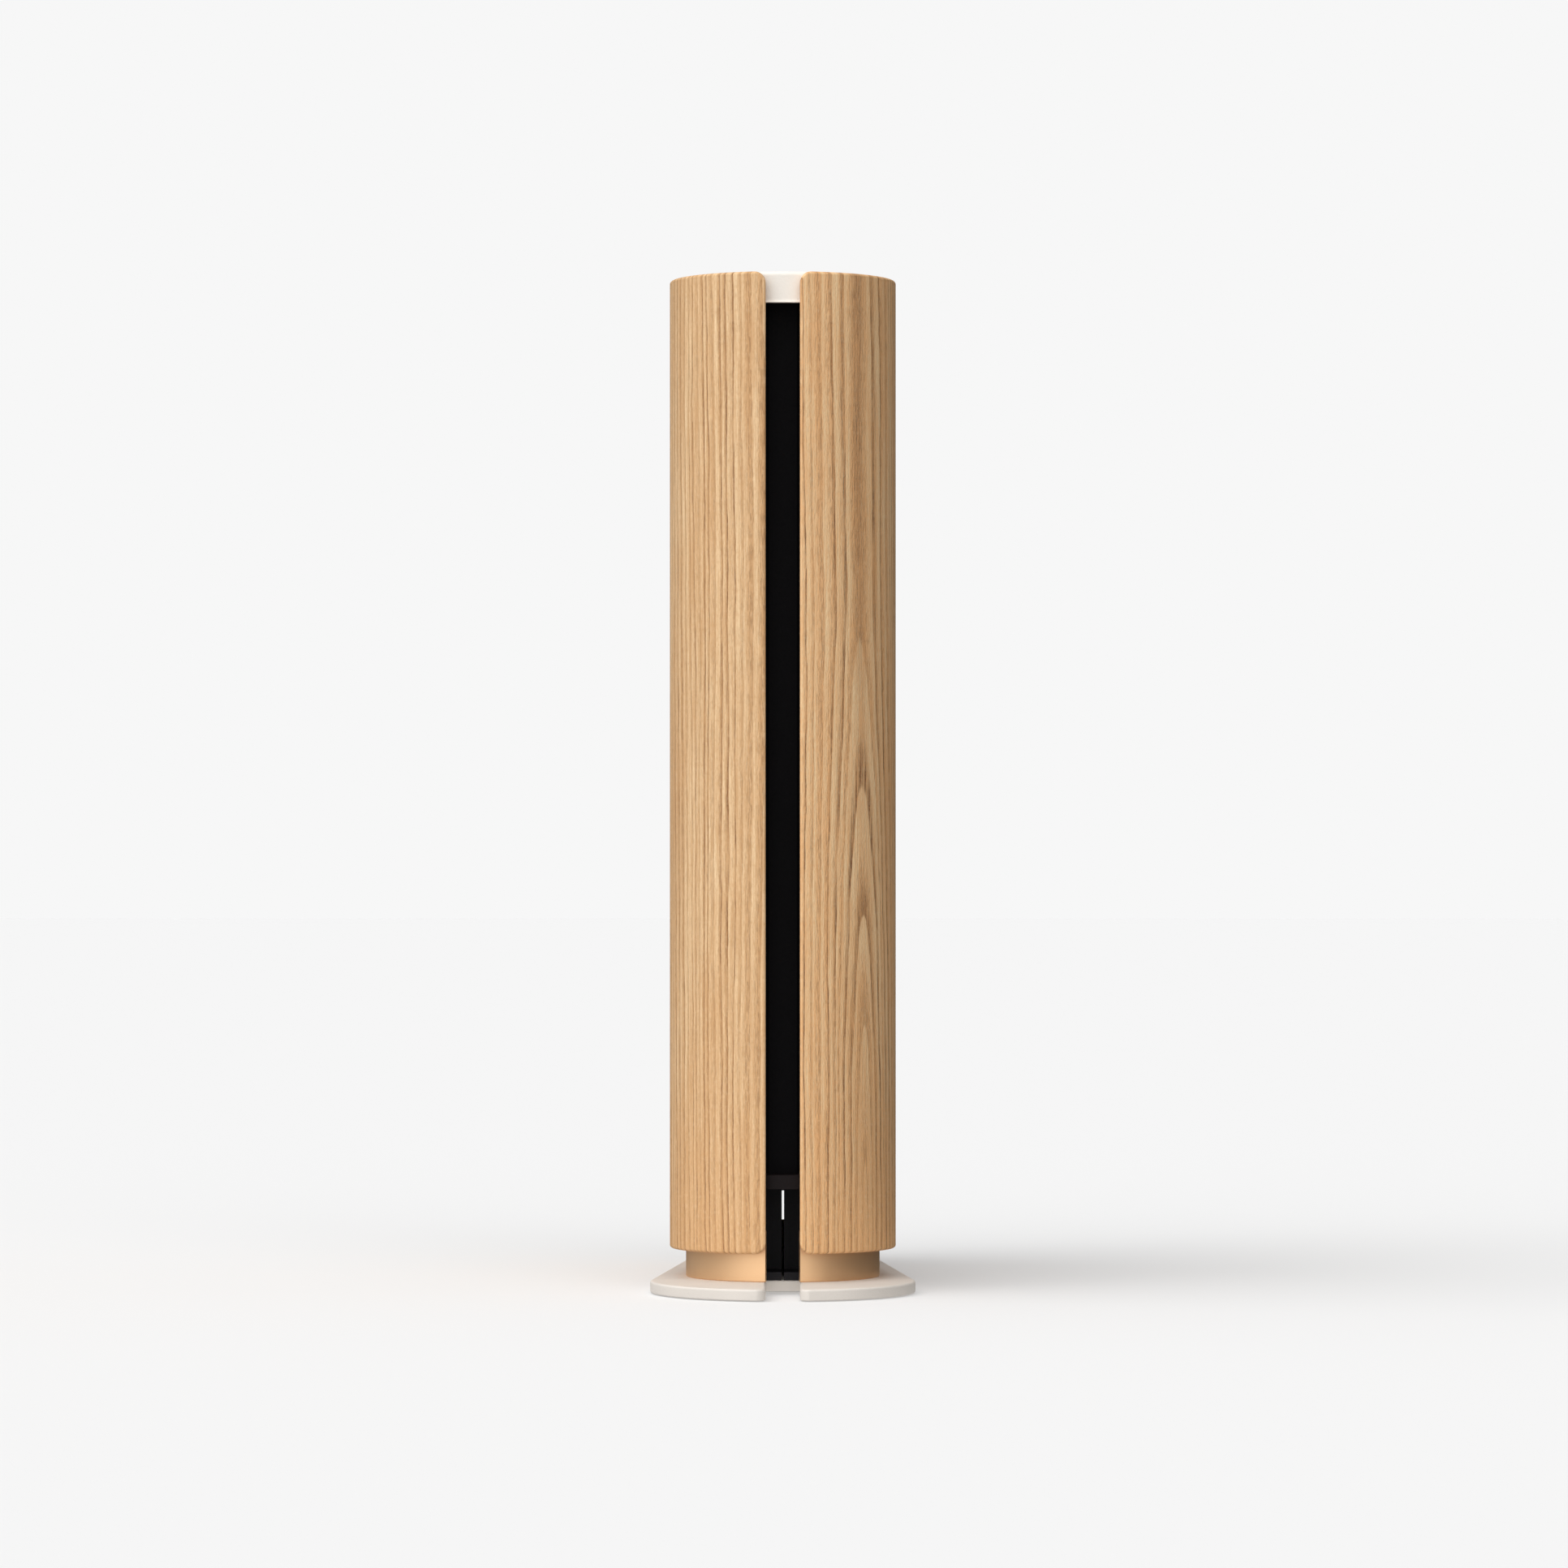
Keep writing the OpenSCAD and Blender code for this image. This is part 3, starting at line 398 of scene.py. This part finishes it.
CREAM = (0.92, 0.875, 0.805, 1)
GOLD = (0.88, 0.585, 0.335, 1)
LOOKS = {
    "cream_paint": fine_grained("cream_powder_coat", (0.76, 0.70, 0.635, 1), 0.55, 0.6 * MM, 0.07 * MM, 0.04),
    "cream_moulding": fine_grained("cream_moulded", CREAM, 0.5, 0.55 * MM, 0.08 * MM, 0.03),
    "touch_surface": fine_grained("touch_satin", shade(CREAM, 0.95), 0.33, 0.25 * MM, 0.008 * MM, 0.02),
    "gold_anodised": blasted_metal("gold_anodised_aluminium", GOLD, 0.46),
    "black_moulding": fine_grained("black_moulded", (0.0034, 0.0029, 0.0036, 1), 0.6, 0.4 * MM, 0.02 * MM,
                                   0.1, spec=0.07),
    "brown_black_moulding": fine_grained("brown_black_moulded", (0.0070, 0.0042, 0.0045, 1), 0.65, 0.4 * MM,
                                         0.02 * MM, 0.1, spec=0.15),
    "sole_rubber": fine_grained("black_rubber", (0.03, 0.03, 0.031, 1), 0.8, 0.8 * MM, 0.08 * MM, 0.1),
    "screw_steel": blasted_metal("zinc_plated_steel", (0.60, 0.60, 0.62, 1), 0.28, 0.3 * MM),
    "plated_steel": blasted_metal("nickel_plated_steel", (0.66, 0.64, 0.60, 1), 0.25, 0.2 * MM),
    "circuit_board": circuit_board("green_circuit_board"),
    "switch_plastic": fine_grained("switch_grey", (0.55, 0.53, 0.50, 1), 0.45, 0.3 * MM, 0.01 * MM, 0.03),
    "light_pipe": fine_grained("light_pipe_white", (0.88, 0.88, 0.86, 1), 0.25, 0.3 * MM, 0.005 * MM, 0.02),
    "grille_moulding": fine_grained("grille_frame_brown", (0.035, 0.031, 0.028, 1), 0.6, 0.4 * MM,
                                    0.02 * MM, 0.1),
    "knit_textile": speaker_knit("taupe_speaker_knit"),
    "enclosure_moulding": fine_grained("glass_filled_grey", (0.05, 0.05, 0.053, 1), 0.62, 0.7 * MM,
                                       0.05 * MM, 0.12),
    "driver_frame": fine_grained("black_powder_coat", (0.018, 0.018, 0.020, 1), 0.5, 0.35 * MM, 0.03 * MM,
                                 0.1),
    "magnet_steel": blasted_metal("turned_zinc_steel", (0.56, 0.56, 0.57, 1), 0.3, 0.25 * MM, 0.01 * MM,
                                  (0.1, 1, 1)),
    "ferrite": fine_grained("ground_ferrite", (0.055, 0.055, 0.06, 1), 0.5, 0.3 * MM, 0.03 * MM, 0.15),
    "cone_paper": pressed_fibre("cone_fibre", (0.035, 0.035, 0.038, 1)),
    "spider_cloth": woven_cloth("spider_cloth_amber", (0.42, 0.28, 0.10, 1)),
    "coil_copper": wound_wire("voice_coil_copper", (0.80, 0.38, 0.20, 1)),
    "dome_metal": blasted_metal("tweeter_dome_metal", (0.72, 0.72, 0.73, 1), 0.22, 0.4 * MM, 0.004 * MM),
    "heat_spreader_aluminium": blasted_metal("brushed_aluminium", (0.72, 0.72, 0.73, 1), 0.35, 0.3 * MM,
                                             0.01 * MM, (1, 1, 0.04)),
    "component_plastic": mixed_parts("soldered_parts", [rgb(24, 24, 28), rgb(58, 60, 78), rgb(150, 150, 152)],
                                     9 * MM),
    "wire_insulation": mixed_parts("wire_sleeves", [rgb(20, 20, 20), rgb(120, 24, 20), rgb(34, 34, 36)],
                                   40 * MM),
}
# Painted light: a lighter copy of the black moulding, so that the cable bay halves, which sit in shade, read
# brighter.
BAY_BLACK_PAINTED_LIGHT = fine_grained("black_moulded_bay", (0.010, 0.0085, 0.0105, 1), 0.55, 0.4 * MM, 0.02 * MM, 0.1,
                         spec=0.2)
OAK_LEFT = oak("oak_straight_grain", heart=-9 * MM, heart_depth=6 * MM, sink=3 * MM, lean=0.010,
               swell=1.2 * MM, calm=10 * MM, core=0.0, tones=LEFT_TONES)
OAK_RIGHT = oak("oak_cathedral_grain", heart=19 * MM, heart_depth=0.8 * MM, sink=8 * MM, lean=-0.012,
                swell=1.2 * MM, calm=1 * MM, core=0.42, tones=RIGHT_TONES_WITH_PAINTED_LIGHT)


# ---------------------------------------------------------------- mesh helpers

def finish_piece(name, mesh, slot, material=None, body=BODY, replaces=(), sharp=35, weighted=True):
    """Puts a new mesh in the scene as a piece of the object."""
    piece = bpy.data.objects.new(name, mesh)
    bpy.context.scene.collection.objects.link(piece)
    mesh.materials.append(material or LOOKS[slot])
    mesh.shade_smooth()
    if sharp:
        mesh.set_sharp_from_angle(angle=math.radians(sharp))
    if weighted:
        smoother = piece.modifiers.new("weighted_normals", "WEIGHTED_NORMAL")
        smoother.keep_sharp = True
    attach(piece, body)
    if replaces:
        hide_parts(*replaces)
    return piece


def mesh_from(name, points, faces):
    mesh = bpy.data.meshes.new(name)
    mesh.from_pydata([tuple(p) for p in points], [], faces)
    mesh.update()
    return mesh


def face_outward(mesh):
    tidy = bmesh.new()
    tidy.from_mesh(mesh)
    bmesh.ops.recalc_face_normals(tidy, faces=tidy.faces)
    tidy.to_mesh(mesh)
    tidy.free()


def bridge(ring, other):
    """Faces between two closed rings of vertex numbers."""
    return [(a, d, c, b) for a, b, c, d in zip(ring, other, other[1:] + other[:1], ring[1:] + ring[:1])]


def stacked(name, rings, close_start=True, close_end=True):
    """A skin through closed rings of points, with a face over its first and last ring."""
    count = len(rings[0])
    points = [p for ring in rings for p in ring]
    faces = []
    for k in range(len(rings) - 1):
        ring = list(range(k * count, (k + 1) * count))
        faces += bridge(ring, [i + count for i in ring])
    if close_start:
        faces.append(tuple(range(count - 1, -1, -1)))
    if close_end:
        faces.append(tuple((len(rings) - 1) * count + i for i in range(count)))
    mesh = mesh_from(name, points, faces)
    face_outward(mesh)
    return mesh


def inset_loop(line, off, z):
    """An outline's points moved in by off, at height z."""
    return [(x - nx * off, y - ny * off, z) for x, y, nx, ny in line]


def rounded(off_a, z_a, radius, quarter, steps=5):
    """(inset, height) pairs round an edge: 'top' comes up from the side, 'bottom' goes back down to it."""
    out = []
    for i in range(steps + 1):
        a = math.pi / 2 * i / steps
        if quarter == "top":
            out.append((off_a + radius * (1 - math.cos(a)), z_a - radius * (1 - math.sin(a))))
        else:
            out.append((off_a + radius * (1 - math.sin(a)), z_a + radius * (1 - math.cos(a))))
    return out


# ---------------------------------------------------------------- oak covers

EDGE_ROUND = 0.75 * MM
EDGE_STEPS = 5
CORNER_STEPS = 8
COVER_ROWS = 72
COLUMN_STEP = 2 * MM
SQUARE_UP = 9 * MM      # over this length the cover's edge turns from the slot's direction to the outline's


def cover_grid(width, height):
    """Columns of the cover's flat face inside its rim: (distance along, lowest, highest, rim turn)."""
    r = COVER_CORNER - EDGE_ROUND
    turns = [math.pi / 2 * i / CORNER_STEPS for i in range(CORNER_STEPS + 1)]
    near = [(EDGE_ROUND + r * (1 - math.cos(t)), r * (1 - math.sin(t)), t) for t in turns]
    first, last = near[-1][0], width - near[-1][0]
    count = round((last - first) / COLUMN_STEP)
    middle = [(first + (last - first) * i / count, 0.0, math.pi / 2) for i in range(1, count)]
    far = [(width - a, cut, math.pi - t) for a, cut, t in reversed(near)]
    return [(a, EDGE_ROUND + cut, height - EDGE_ROUND - cut, t) for a, cut, t in near + middle + far]


def oak_cover(name, side, material):
    box_low, box_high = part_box(name)
    start = REAR_R * math.asin(SLOT_HALF / REAR_R)
    front_turn = math.pi - math.acos((box_high.y - FRONT_Y) / FRONT_R)
    end = BODY_LINE.rear_len + BODY_LINE.side_len + FRONT_R * (front_turn - math.pi / 2 - BODY_LINE.lean)
    width, height = end - start, box_high.z - box_low.z
    columns = cover_grid(width, height)
    rows = COVER_ROWS

    def placed(a, z, depth):
        x, y, nx, ny = BODY_LINE.at(start + a)
        blend = min(max(a / SQUARE_UP, 0), 1)
        inward = Vector((-nx * blend, (1 - blend) - ny * blend)).normalized()
        reach = depth / max(inward.dot(Vector((-nx, -ny))), 0.5)
        return side * (x + inward.x * reach), y + inward.y * reach, box_low.z + z

    flat = [(a, lo + (hi - lo) * j / rows, 0.0) for a, lo, hi, _ in columns for j in range(rows + 1)]
    per, last = rows + 1, len(columns) - 1
    rim = [(k * per, columns[k][3], -1) for k in range(last + 1)]
    rim += [(last * per + j, math.pi, 0) for j in range(1, rows)]
    rim += [(k * per + rows, columns[k][3], 1) for k in range(last, -1, -1)]
    rim += [(j, 0.0, 0) for j in range(rows - 1, 0, -1)]
    rounds = [math.pi / 2 * i / EDGE_STEPS for i in range(1, EDGE_STEPS + 1)]
    profile = [(EDGE_ROUND * math.sin(t), EDGE_ROUND * (1 - math.cos(t))) for t in rounds]
    profile += [(t, COVER_T - d) for t, d in reversed(profile)]
    nodes = list(flat)
    faces = [(k * per + j, (k + 1) * per + j, (k + 1) * per + j + 1, k * per + j + 1)
             for k in range(last) for j in range(rows)]
    ring = [i for i, _, _ in rim]
    for reach, depth in profile:
        new = []
        for i, turn, way in rim:
            a, z, _ = flat[i]
            new.append(len(nodes))
            nodes.append((a - reach * math.cos(turn), z + way * reach * math.sin(turn), depth))
        faces += bridge(new, ring)
        ring = new
    back = len(nodes)
    nodes += [(a, z, COVER_T) for a, z, _ in flat]
    inner = [back + i for i, _, _ in rim]
    faces += bridge(inner, ring)
    cells = [back + k * per + j for k in range(last) for j in range(rows)]
    faces += [(a, a + 1, a + per + 1, a + per) for a in cells]
    mesh = mesh_from(name + "_oak", [placed(*n) for n in nodes], faces)
    layer = mesh.uv_layers.new(name="grain")
    for loop in mesh.loops:
        a, z, depth = nodes[loop.vertex_index]
        layer.data[loop.index].uv = (a + depth, z)
    face_outward(mesh)
    return finish_piece(name + "_oak", mesh, "oak_veneer", material, replaces=[name], sharp=None)


oak_cover("left_cover", -1, OAK_LEFT)
oak_cover("right_cover", 1, OAK_RIGHT)


# ---------------------------------------------------------------- base plate

def base_outline():
    """The base plate's outline with its cable notch, anticlockwise, as points with outward normals."""
    mouth = BASE_REAR_Y - BASE_REAR_R + 3.1 * MM
    w = SLOT_HALF
    count = 10
    points = [(w, NOTCH_END_Y + (mouth - NOTCH_END_Y) * i / count, -1, 0) for i in range(count)]
    for i in range(count):
        a = math.radians(180 + 88 * i / (count - 1))
        points.append((w + NOTCH_CORNER + NOTCH_CORNER * math.cos(a), mouth + NOTCH_CORNER * math.sin(a),
                       math.cos(a), math.sin(a)))
    first = BASE_REAR_R * math.asin((w + NOTCH_CORNER + 1 * MM) / BASE_REAR_R)
    beyond = [s for s in BASE_LINE.stations() if s > first + 1 * MM]
    right = points + [BASE_LINE.at(u) for u in [first] + beyond]
    left = [(-x, y, -nx, ny) for x, y, nx, ny in reversed(right[:-1])]
    loop = right + left
    # The two inner corners of the notch turn the other way, so they move along both walls at once.
    loop[0] = (w, NOTCH_END_Y, -1, -1)
    loop[-1] = (-w, NOTCH_END_Y, 1, -1)
    return loop


def base_plate():
    bottom, top = low("base_plate").z, high("base_plate").z
    line = base_outline()
    rings = [inset_loop(line, 1.4 * MM, bottom)]
    rings += [inset_loop(line, off, z) for off, z in rounded(0, bottom, 0.25 * MM, "bottom", 3)]
    rings += [inset_loop(line, off, z) for off, z in rounded(0, top, 0.6 * MM, "top", 6)]
    rings += [inset_loop(line, 1.2 * MM, top)]
    mesh = stacked("base_plate_cream", rings)
    return finish_piece("base_plate_cream", mesh, "cream_paint", replaces=["base_plate"], sharp=50)


base_plate()


# ---------------------------------------------------------------- neck band

LIGHT_NOTCH_HALF = 2.4 * MM     # the low stretch at the front that lets light through the slit
LIGHT_NOTCH_TOP = 10.8 * MM


def band_path(off, half_gap):
    """Stations of an open band round the body, inset by off, from one side of the rear slot to the other."""
    start = REAR_R * math.asin(half_gap / (REAR_R - off))
    right = [start + d * MM for d in (0, 0.15, 0.35, 0.7)]
    right += [s for s in BODY_LINE.stations() if s > start + 1.4 * MM]
    return [(s, 1) for s in right] + [(s, -1) for s in reversed(right[:-1])]


def on_body(station, off, z):
    u, side = station
    x, y, nx, ny = BODY_LINE.at(u)
    return side * (x - nx * off), y - ny * off, z


def section(off_low, off_high, z_low, z_high, chamfer):
    """A rectangle's outline with cut corners, as (inset, height) pairs."""
    c = chamfer
    return [(off_low + c, z_low), (off_high - c, z_low), (off_high, z_low + c), (off_high, z_high - c),
            (off_high - c, z_high), (off_low + c, z_high), (off_low, z_high - c), (off_low, z_low + c)]


def swept_band(name, stations, outer, inner, z_low, z_high_at, chamfer, end_chamfer):
    """A band with cut edges that follows the body's outline. z_high_at gives its top at each point."""
    sections = []
    last = len(stations) - 1
    for i, station in enumerate(stations):
        shrink = end_chamfer if i in (0, last) else 0.0
        top = z_high_at(on_body(station, outer, 0))
        corners = section(outer + shrink, inner - shrink, z_low + shrink, top - shrink, chamfer)
        sections.append([on_body(station, off, z) for off, z in corners])
    return stacked(name, sections)


def neck_band():
    box_low, box_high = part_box("neck_band")

    def top_at(point):
        x, y, _ = point
        in_notch = y > 0 and abs(x) < LIGHT_NOTCH_HALF
        return LIGHT_NOTCH_TOP if in_notch else box_high.z

    stations = band_path(NECK_OFF, SLOT_HALF)
    mesh = swept_band("neck_band_gold", stations, NECK_OFF, NECK_OFF + NECK_T, box_low.z, top_at, 0.2 * MM,
                      0.18 * MM)
    return finish_piece("neck_band_gold", mesh, "gold_anodised", replaces=["neck_band"], sharp=30)


neck_band()


# ---------------------------------------------------------------- top cap and touch plate

def top_cap():
    lip = 247 * MM
    outer = BODY_LINE.loop()
    touch = TOUCH_LINE.loop()
    roof = TOTAL_H - 2.4 * MM
    wall = CAP_OFF + 2 * MM
    profile = [(wall, roof), (wall, lip + 0.4 * MM), (wall - 0.25 * MM, lip + 0.1 * MM),
               (wall - 0.6 * MM, lip)]
    # A thin bead runs round the bottom edge and catches the light from above.
    profile += [(CAP_OFF + 0.2 * MM, lip), (CAP_OFF + 0.05 * MM, lip + 0.06 * MM), (CAP_OFF, lip + 0.18 * MM),
                (CAP_OFF + 0.03 * MM, lip + 0.32 * MM), (CAP_OFF + 0.32 * MM, lip + 0.62 * MM),
                (CAP_OFF + 0.35 * MM, lip + 0.75 * MM), (CAP_OFF + 0.35 * MM, lip + 3 * MM)]
    profile += rounded(CAP_OFF + 0.35 * MM, TOTAL_H - 0.12 * MM, 1.1 * MM, "top", 7)
    profile += [(CAP_OFF + 2.2 * MM, TOTAL_H - 0.05 * MM), (CAP_OFF + 4.5 * MM, TOTAL_H)]
    rings = [inset_loop(outer, off, z) for off, z in profile]
    for off, z in ((-0.32, 0.0), (-0.12, -0.06), (-0.1, -0.3), (-0.1, -0.7)):
        rings.append(inset_loop(touch, off * MM, TOTAL_H + z * MM))
    mesh = stacked("top_cap_cream", rings)
    return finish_piece("top_cap_cream", mesh, "cream_moulding", replaces=["top_cap"], sharp=40)


def touch_plate():
    bottom, top = low("touch_plate").z, high("touch_plate").z
    line = TOUCH_LINE.loop()
    profile = [(0, bottom)] + rounded(0, top, 0.25 * MM, "top", 4)
    profile += [(3 * MM, top - 0.02 * MM), (7 * MM, top - 0.12 * MM)]
    mesh = stacked("touch_plate_satin", [inset_loop(line, off, z) for off, z in profile])
    return finish_piece("touch_plate_satin", mesh, "touch_surface", replaces=["touch_plate"], sharp=40)


top_cap()
touch_plate()


# ---------------------------------------------------------------- fabric spine

STITCH_W = 1.5 * MM
STITCH_H = 1.15 * MM
STITCH_DEPTH = 0.16 * MM


def stitch_height(across, up):
    """0 between stitches to 1 on the crown of one: slanted legs in pairs, as in a plain knit."""
    column = across / STITCH_W
    part = column - math.floor(column)
    row = up / STITCH_H + 0.75 * abs(2 * part - 1)
    step = row - math.floor(row)
    leg = abs(math.sin(math.pi * 2 * part)) ** 0.6
    turn = math.sin(math.pi * step) ** 0.7
    return leg * (0.35 + 0.65 * turn)


def fabric_spine():
    box_low, box_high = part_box("grille_fabric")
    turn = math.pi - math.acos((box_low.y - FRONT_Y) / FRONT_R)
    start = BODY_LINE.rear_len + BODY_LINE.side_len + FRONT_R * (turn - math.pi / 2 - BODY_LINE.lean)
    width = 2 * (BODY_LINE.half - start)
    outer_off, inner_off = 0.2 * MM, 0.9 * MM
    columns = round(width / (STITCH_W / 5))
    rows = round((box_high.z - box_low.z) / (STITCH_H / 4))
    edge = 0.5 * MM

    def at(across, z, off):
        u = start + across
        if u > BODY_LINE.half:
            return on_body((2 * BODY_LINE.half - u, -1), off, z)
        return on_body((u, 1), off, z)

    points, heights, places = [], [], []
    for j in range(rows + 1):
        z = box_low.z + (box_high.z - box_low.z) * j / rows
        for i in range(columns + 1):
            across = width * i / columns
            rim = min(across, width - across, z - box_low.z, box_high.z - z) / edge
            fold = 1 - math.sqrt(1 - (1 - min(rim, 1)) ** 2) if rim < 1 else 0
            height = stitch_height(across, z) * min(rim, 1)
            off = outer_off + STITCH_DEPTH * (1 - height) + (inner_off - outer_off) * 0.5 * fold
            points.append(at(across, z, off))
            heights.append(height)
            places.append((across, z))
    front = len(points)
    for j in range(rows + 1):
        z = box_low.z + (box_high.z - box_low.z) * j / rows
        for i in range(columns + 1):
            points.append(at(width * i / columns, z, inner_off))
            heights.append(0.3)
            places.append((width * i / columns, z))
    per = columns + 1
    faces = []
    for j in range(rows):
        for i in range(columns):
            a = j * per + i
            faces.append((a, a + 1, a + per + 1, a + per))
            faces.append((front + a, front + a + per, front + a + per + 1, front + a + 1))
    rim = [i for i in range(per)] + [j * per + columns for j in range(1, rows + 1)]
    rim += [rows * per + i for i in range(columns - 1, -1, -1)] + [j * per for j in range(rows - 1, 0, -1)]
    faces += [(a, front + a, front + b, b) for a, b in zip(rim, rim[1:] + rim[:1])]
    mesh = mesh_from("spine_fabric", points, faces)
    stitch = mesh.attributes.new("stitch", "FLOAT", "POINT")
    stitch.data.foreach_set("value", heights)
    layer = mesh.uv_layers.new(name="grain")
    flat = [c for loop in mesh.loops for c in places[loop.vertex_index]]
    layer.data.foreach_set("uv", flat)
    face_outward(mesh)
    piece = finish_piece("spine_fabric", mesh, "knit_textile", replaces=["grille_fabric"], sharp=None,
                         weighted=False)
    return piece


fabric_spine()


# ---------------------------------------------------------------- CAD nodes keep their shape

for entry in frame["record"]["subparts"]:
    node = frame["nodes"][entry["node"]]
    if node.hide_render:
        continue
    node.data.materials.clear()
    # The bay halves get the lighter, painted-light copy of the black moulding.
    in_bay = entry["node"].startswith("bay_")
    node.data.materials.append(BAY_BLACK_PAINTED_LIGHT if in_bay else LOOKS[entry["material_slot"]])


# ---------------------------------------------------------------- floor, light and camera

WHITE = 0.93           # linear value of the background
FLOOR_TONE = 0.718
FLOOR_GLOW = 0.15      # light on the floor that the object does not shade
CARD_R = 62 * MM       # the card under the base that stands for the floor's bounce
CARD_X, CARD_Y = -12 * MM, -50 * MM
CARD_GLOW = 0.6
CARD_SIDES = 48
AMBIENT = 0.085
# Soft panels: their direction, the cosines of the angles at their rim and plateau, and their strength.
PANELS = [((-0.22, -0.97, 0.45), 0.45, 0.86, 1.5), ((-1.0, -0.1, 0.3), 0.0, 0.9, 0.36),
          ((0, 0, 1), 0.2, 0.95, 0.9)]
SUN = 0.6
SUN_ANGLE = 50
SUN_WAY = 0.75, 0.12, -0.72
LENS = 136.7
CAMERA_PLACE = 0.3 * MM, -1.540, 0.109
CAMERA_SHIFT = 0.0466


def studio():
    floor_mesh = mesh_from("floor", [(-6, -6, 0), (6, -6, 0), (6, 9, 0), (-6, 9, 0)], [(0, 1, 2, 3)])
    floor = bpy.data.objects.new("floor", floor_mesh)
    bpy.context.scene.collection.objects.link(floor)
    # The floor lights nothing, so the shaded side of the oak stays dark. The card lights the base and neck.
    floor.visible_diffuse = floor.visible_glossy = floor.visible_shadow = False
    g = Graph("pale_floor")
    floor_mesh.materials.append(g.surface(color=(FLOOR_TONE,) * 3 + (1,), rough=0.9, spec=0.0,
                                          glow=FLOOR_GLOW, glow_color=(1, 1, 1, 1)))
    turns = [2 * math.pi * i / CARD_SIDES for i in range(CARD_SIDES)]
    spot = [(CARD_X + CARD_R * math.cos(a), CARD_Y + CARD_R * math.sin(a), -0.5 * MM) for a in turns]
    bounce_mesh = mesh_from("bounce_card", spot, [tuple(range(CARD_SIDES))])
    bounce = bpy.data.objects.new("bounce_card", bounce_mesh)
    bpy.context.scene.collection.objects.link(bounce)
    g = Graph("bounce_card")
    bounce_mesh.materials.append(g.surface(color=(0, 0, 0, 1), spec=0.0, glow=CARD_GLOW,
                                           glow_color=(1, 1, 1, 1)))
    bounce.visible_camera = bounce.visible_shadow = False

    world = bpy.data.worlds.new("studio")
    bpy.context.scene.world = world
    world.use_nodes = True
    tree = world.node_tree
    tree.nodes.clear()

    def put(kind, inputs=None, output=0, **settings):
        node = tree.nodes.new("ShaderNode" + kind)
        for key, value in settings.items():
            setattr(node, key, value)
        for key, value in (inputs or {}).items():
            if isinstance(value, bpy.types.NodeSocket):
                tree.links.new(value, node.inputs[key])
            else:
                node.inputs[key].default_value = value
        return node.outputs[output] if node.outputs else node

    direction = put("TexCoord")

    def panel(toward, start, full, strength):
        """Soft light from around one direction, from cosine start at its rim to full at its plateau."""
        facing = put("VectorMath", {0: direction, 1: Vector(toward).normalized()}, output=1,
                     operation="DOT_PRODUCT")
        return put("MapRange", {0: facing, 1: start, 2: full, 3: 0.0, 4: strength},
                   interpolation_type="SMOOTHSTEP")

    total = AMBIENT
    for light in PANELS:
        total = put("Math", {0: total, 1: panel(*light)}, operation="ADD")
    lit = put("Background", {"Strength": total})
    seen = put("Background", {"Color": (WHITE, WHITE, WHITE, 1)})
    is_camera = put("LightPath")
    both = put("MixShader", {0: is_camera, 1: lit, 2: seen})
    put("OutputWorld", {"Surface": both})

    sun = bpy.data.lights.new("key", "SUN")
    sun.energy = SUN
    sun.angle = math.radians(SUN_ANGLE)
    lamp = bpy.data.objects.new("key", sun)
    lamp.rotation_mode = "QUATERNION"
    lamp.rotation_quaternion = Vector(SUN_WAY).to_track_quat("-Z", "Y")
    bpy.context.scene.collection.objects.link(lamp)


def camera():
    data = bpy.data.cameras.new("camera")
    data.sensor_width = 36
    data.lens = LENS
    data.shift_y = CAMERA_SHIFT
    data.clip_start, data.clip_end = 0.05, 60
    cam = bpy.data.objects.new("camera", data)
    cam.location = CAMERA_PLACE
    cam.rotation_euler = (math.radians(90), 0, 0)
    bpy.context.scene.collection.objects.link(cam)
    bpy.context.scene.camera = cam


studio()
camera()
bpy.context.scene.view_settings.view_transform = "Standard"
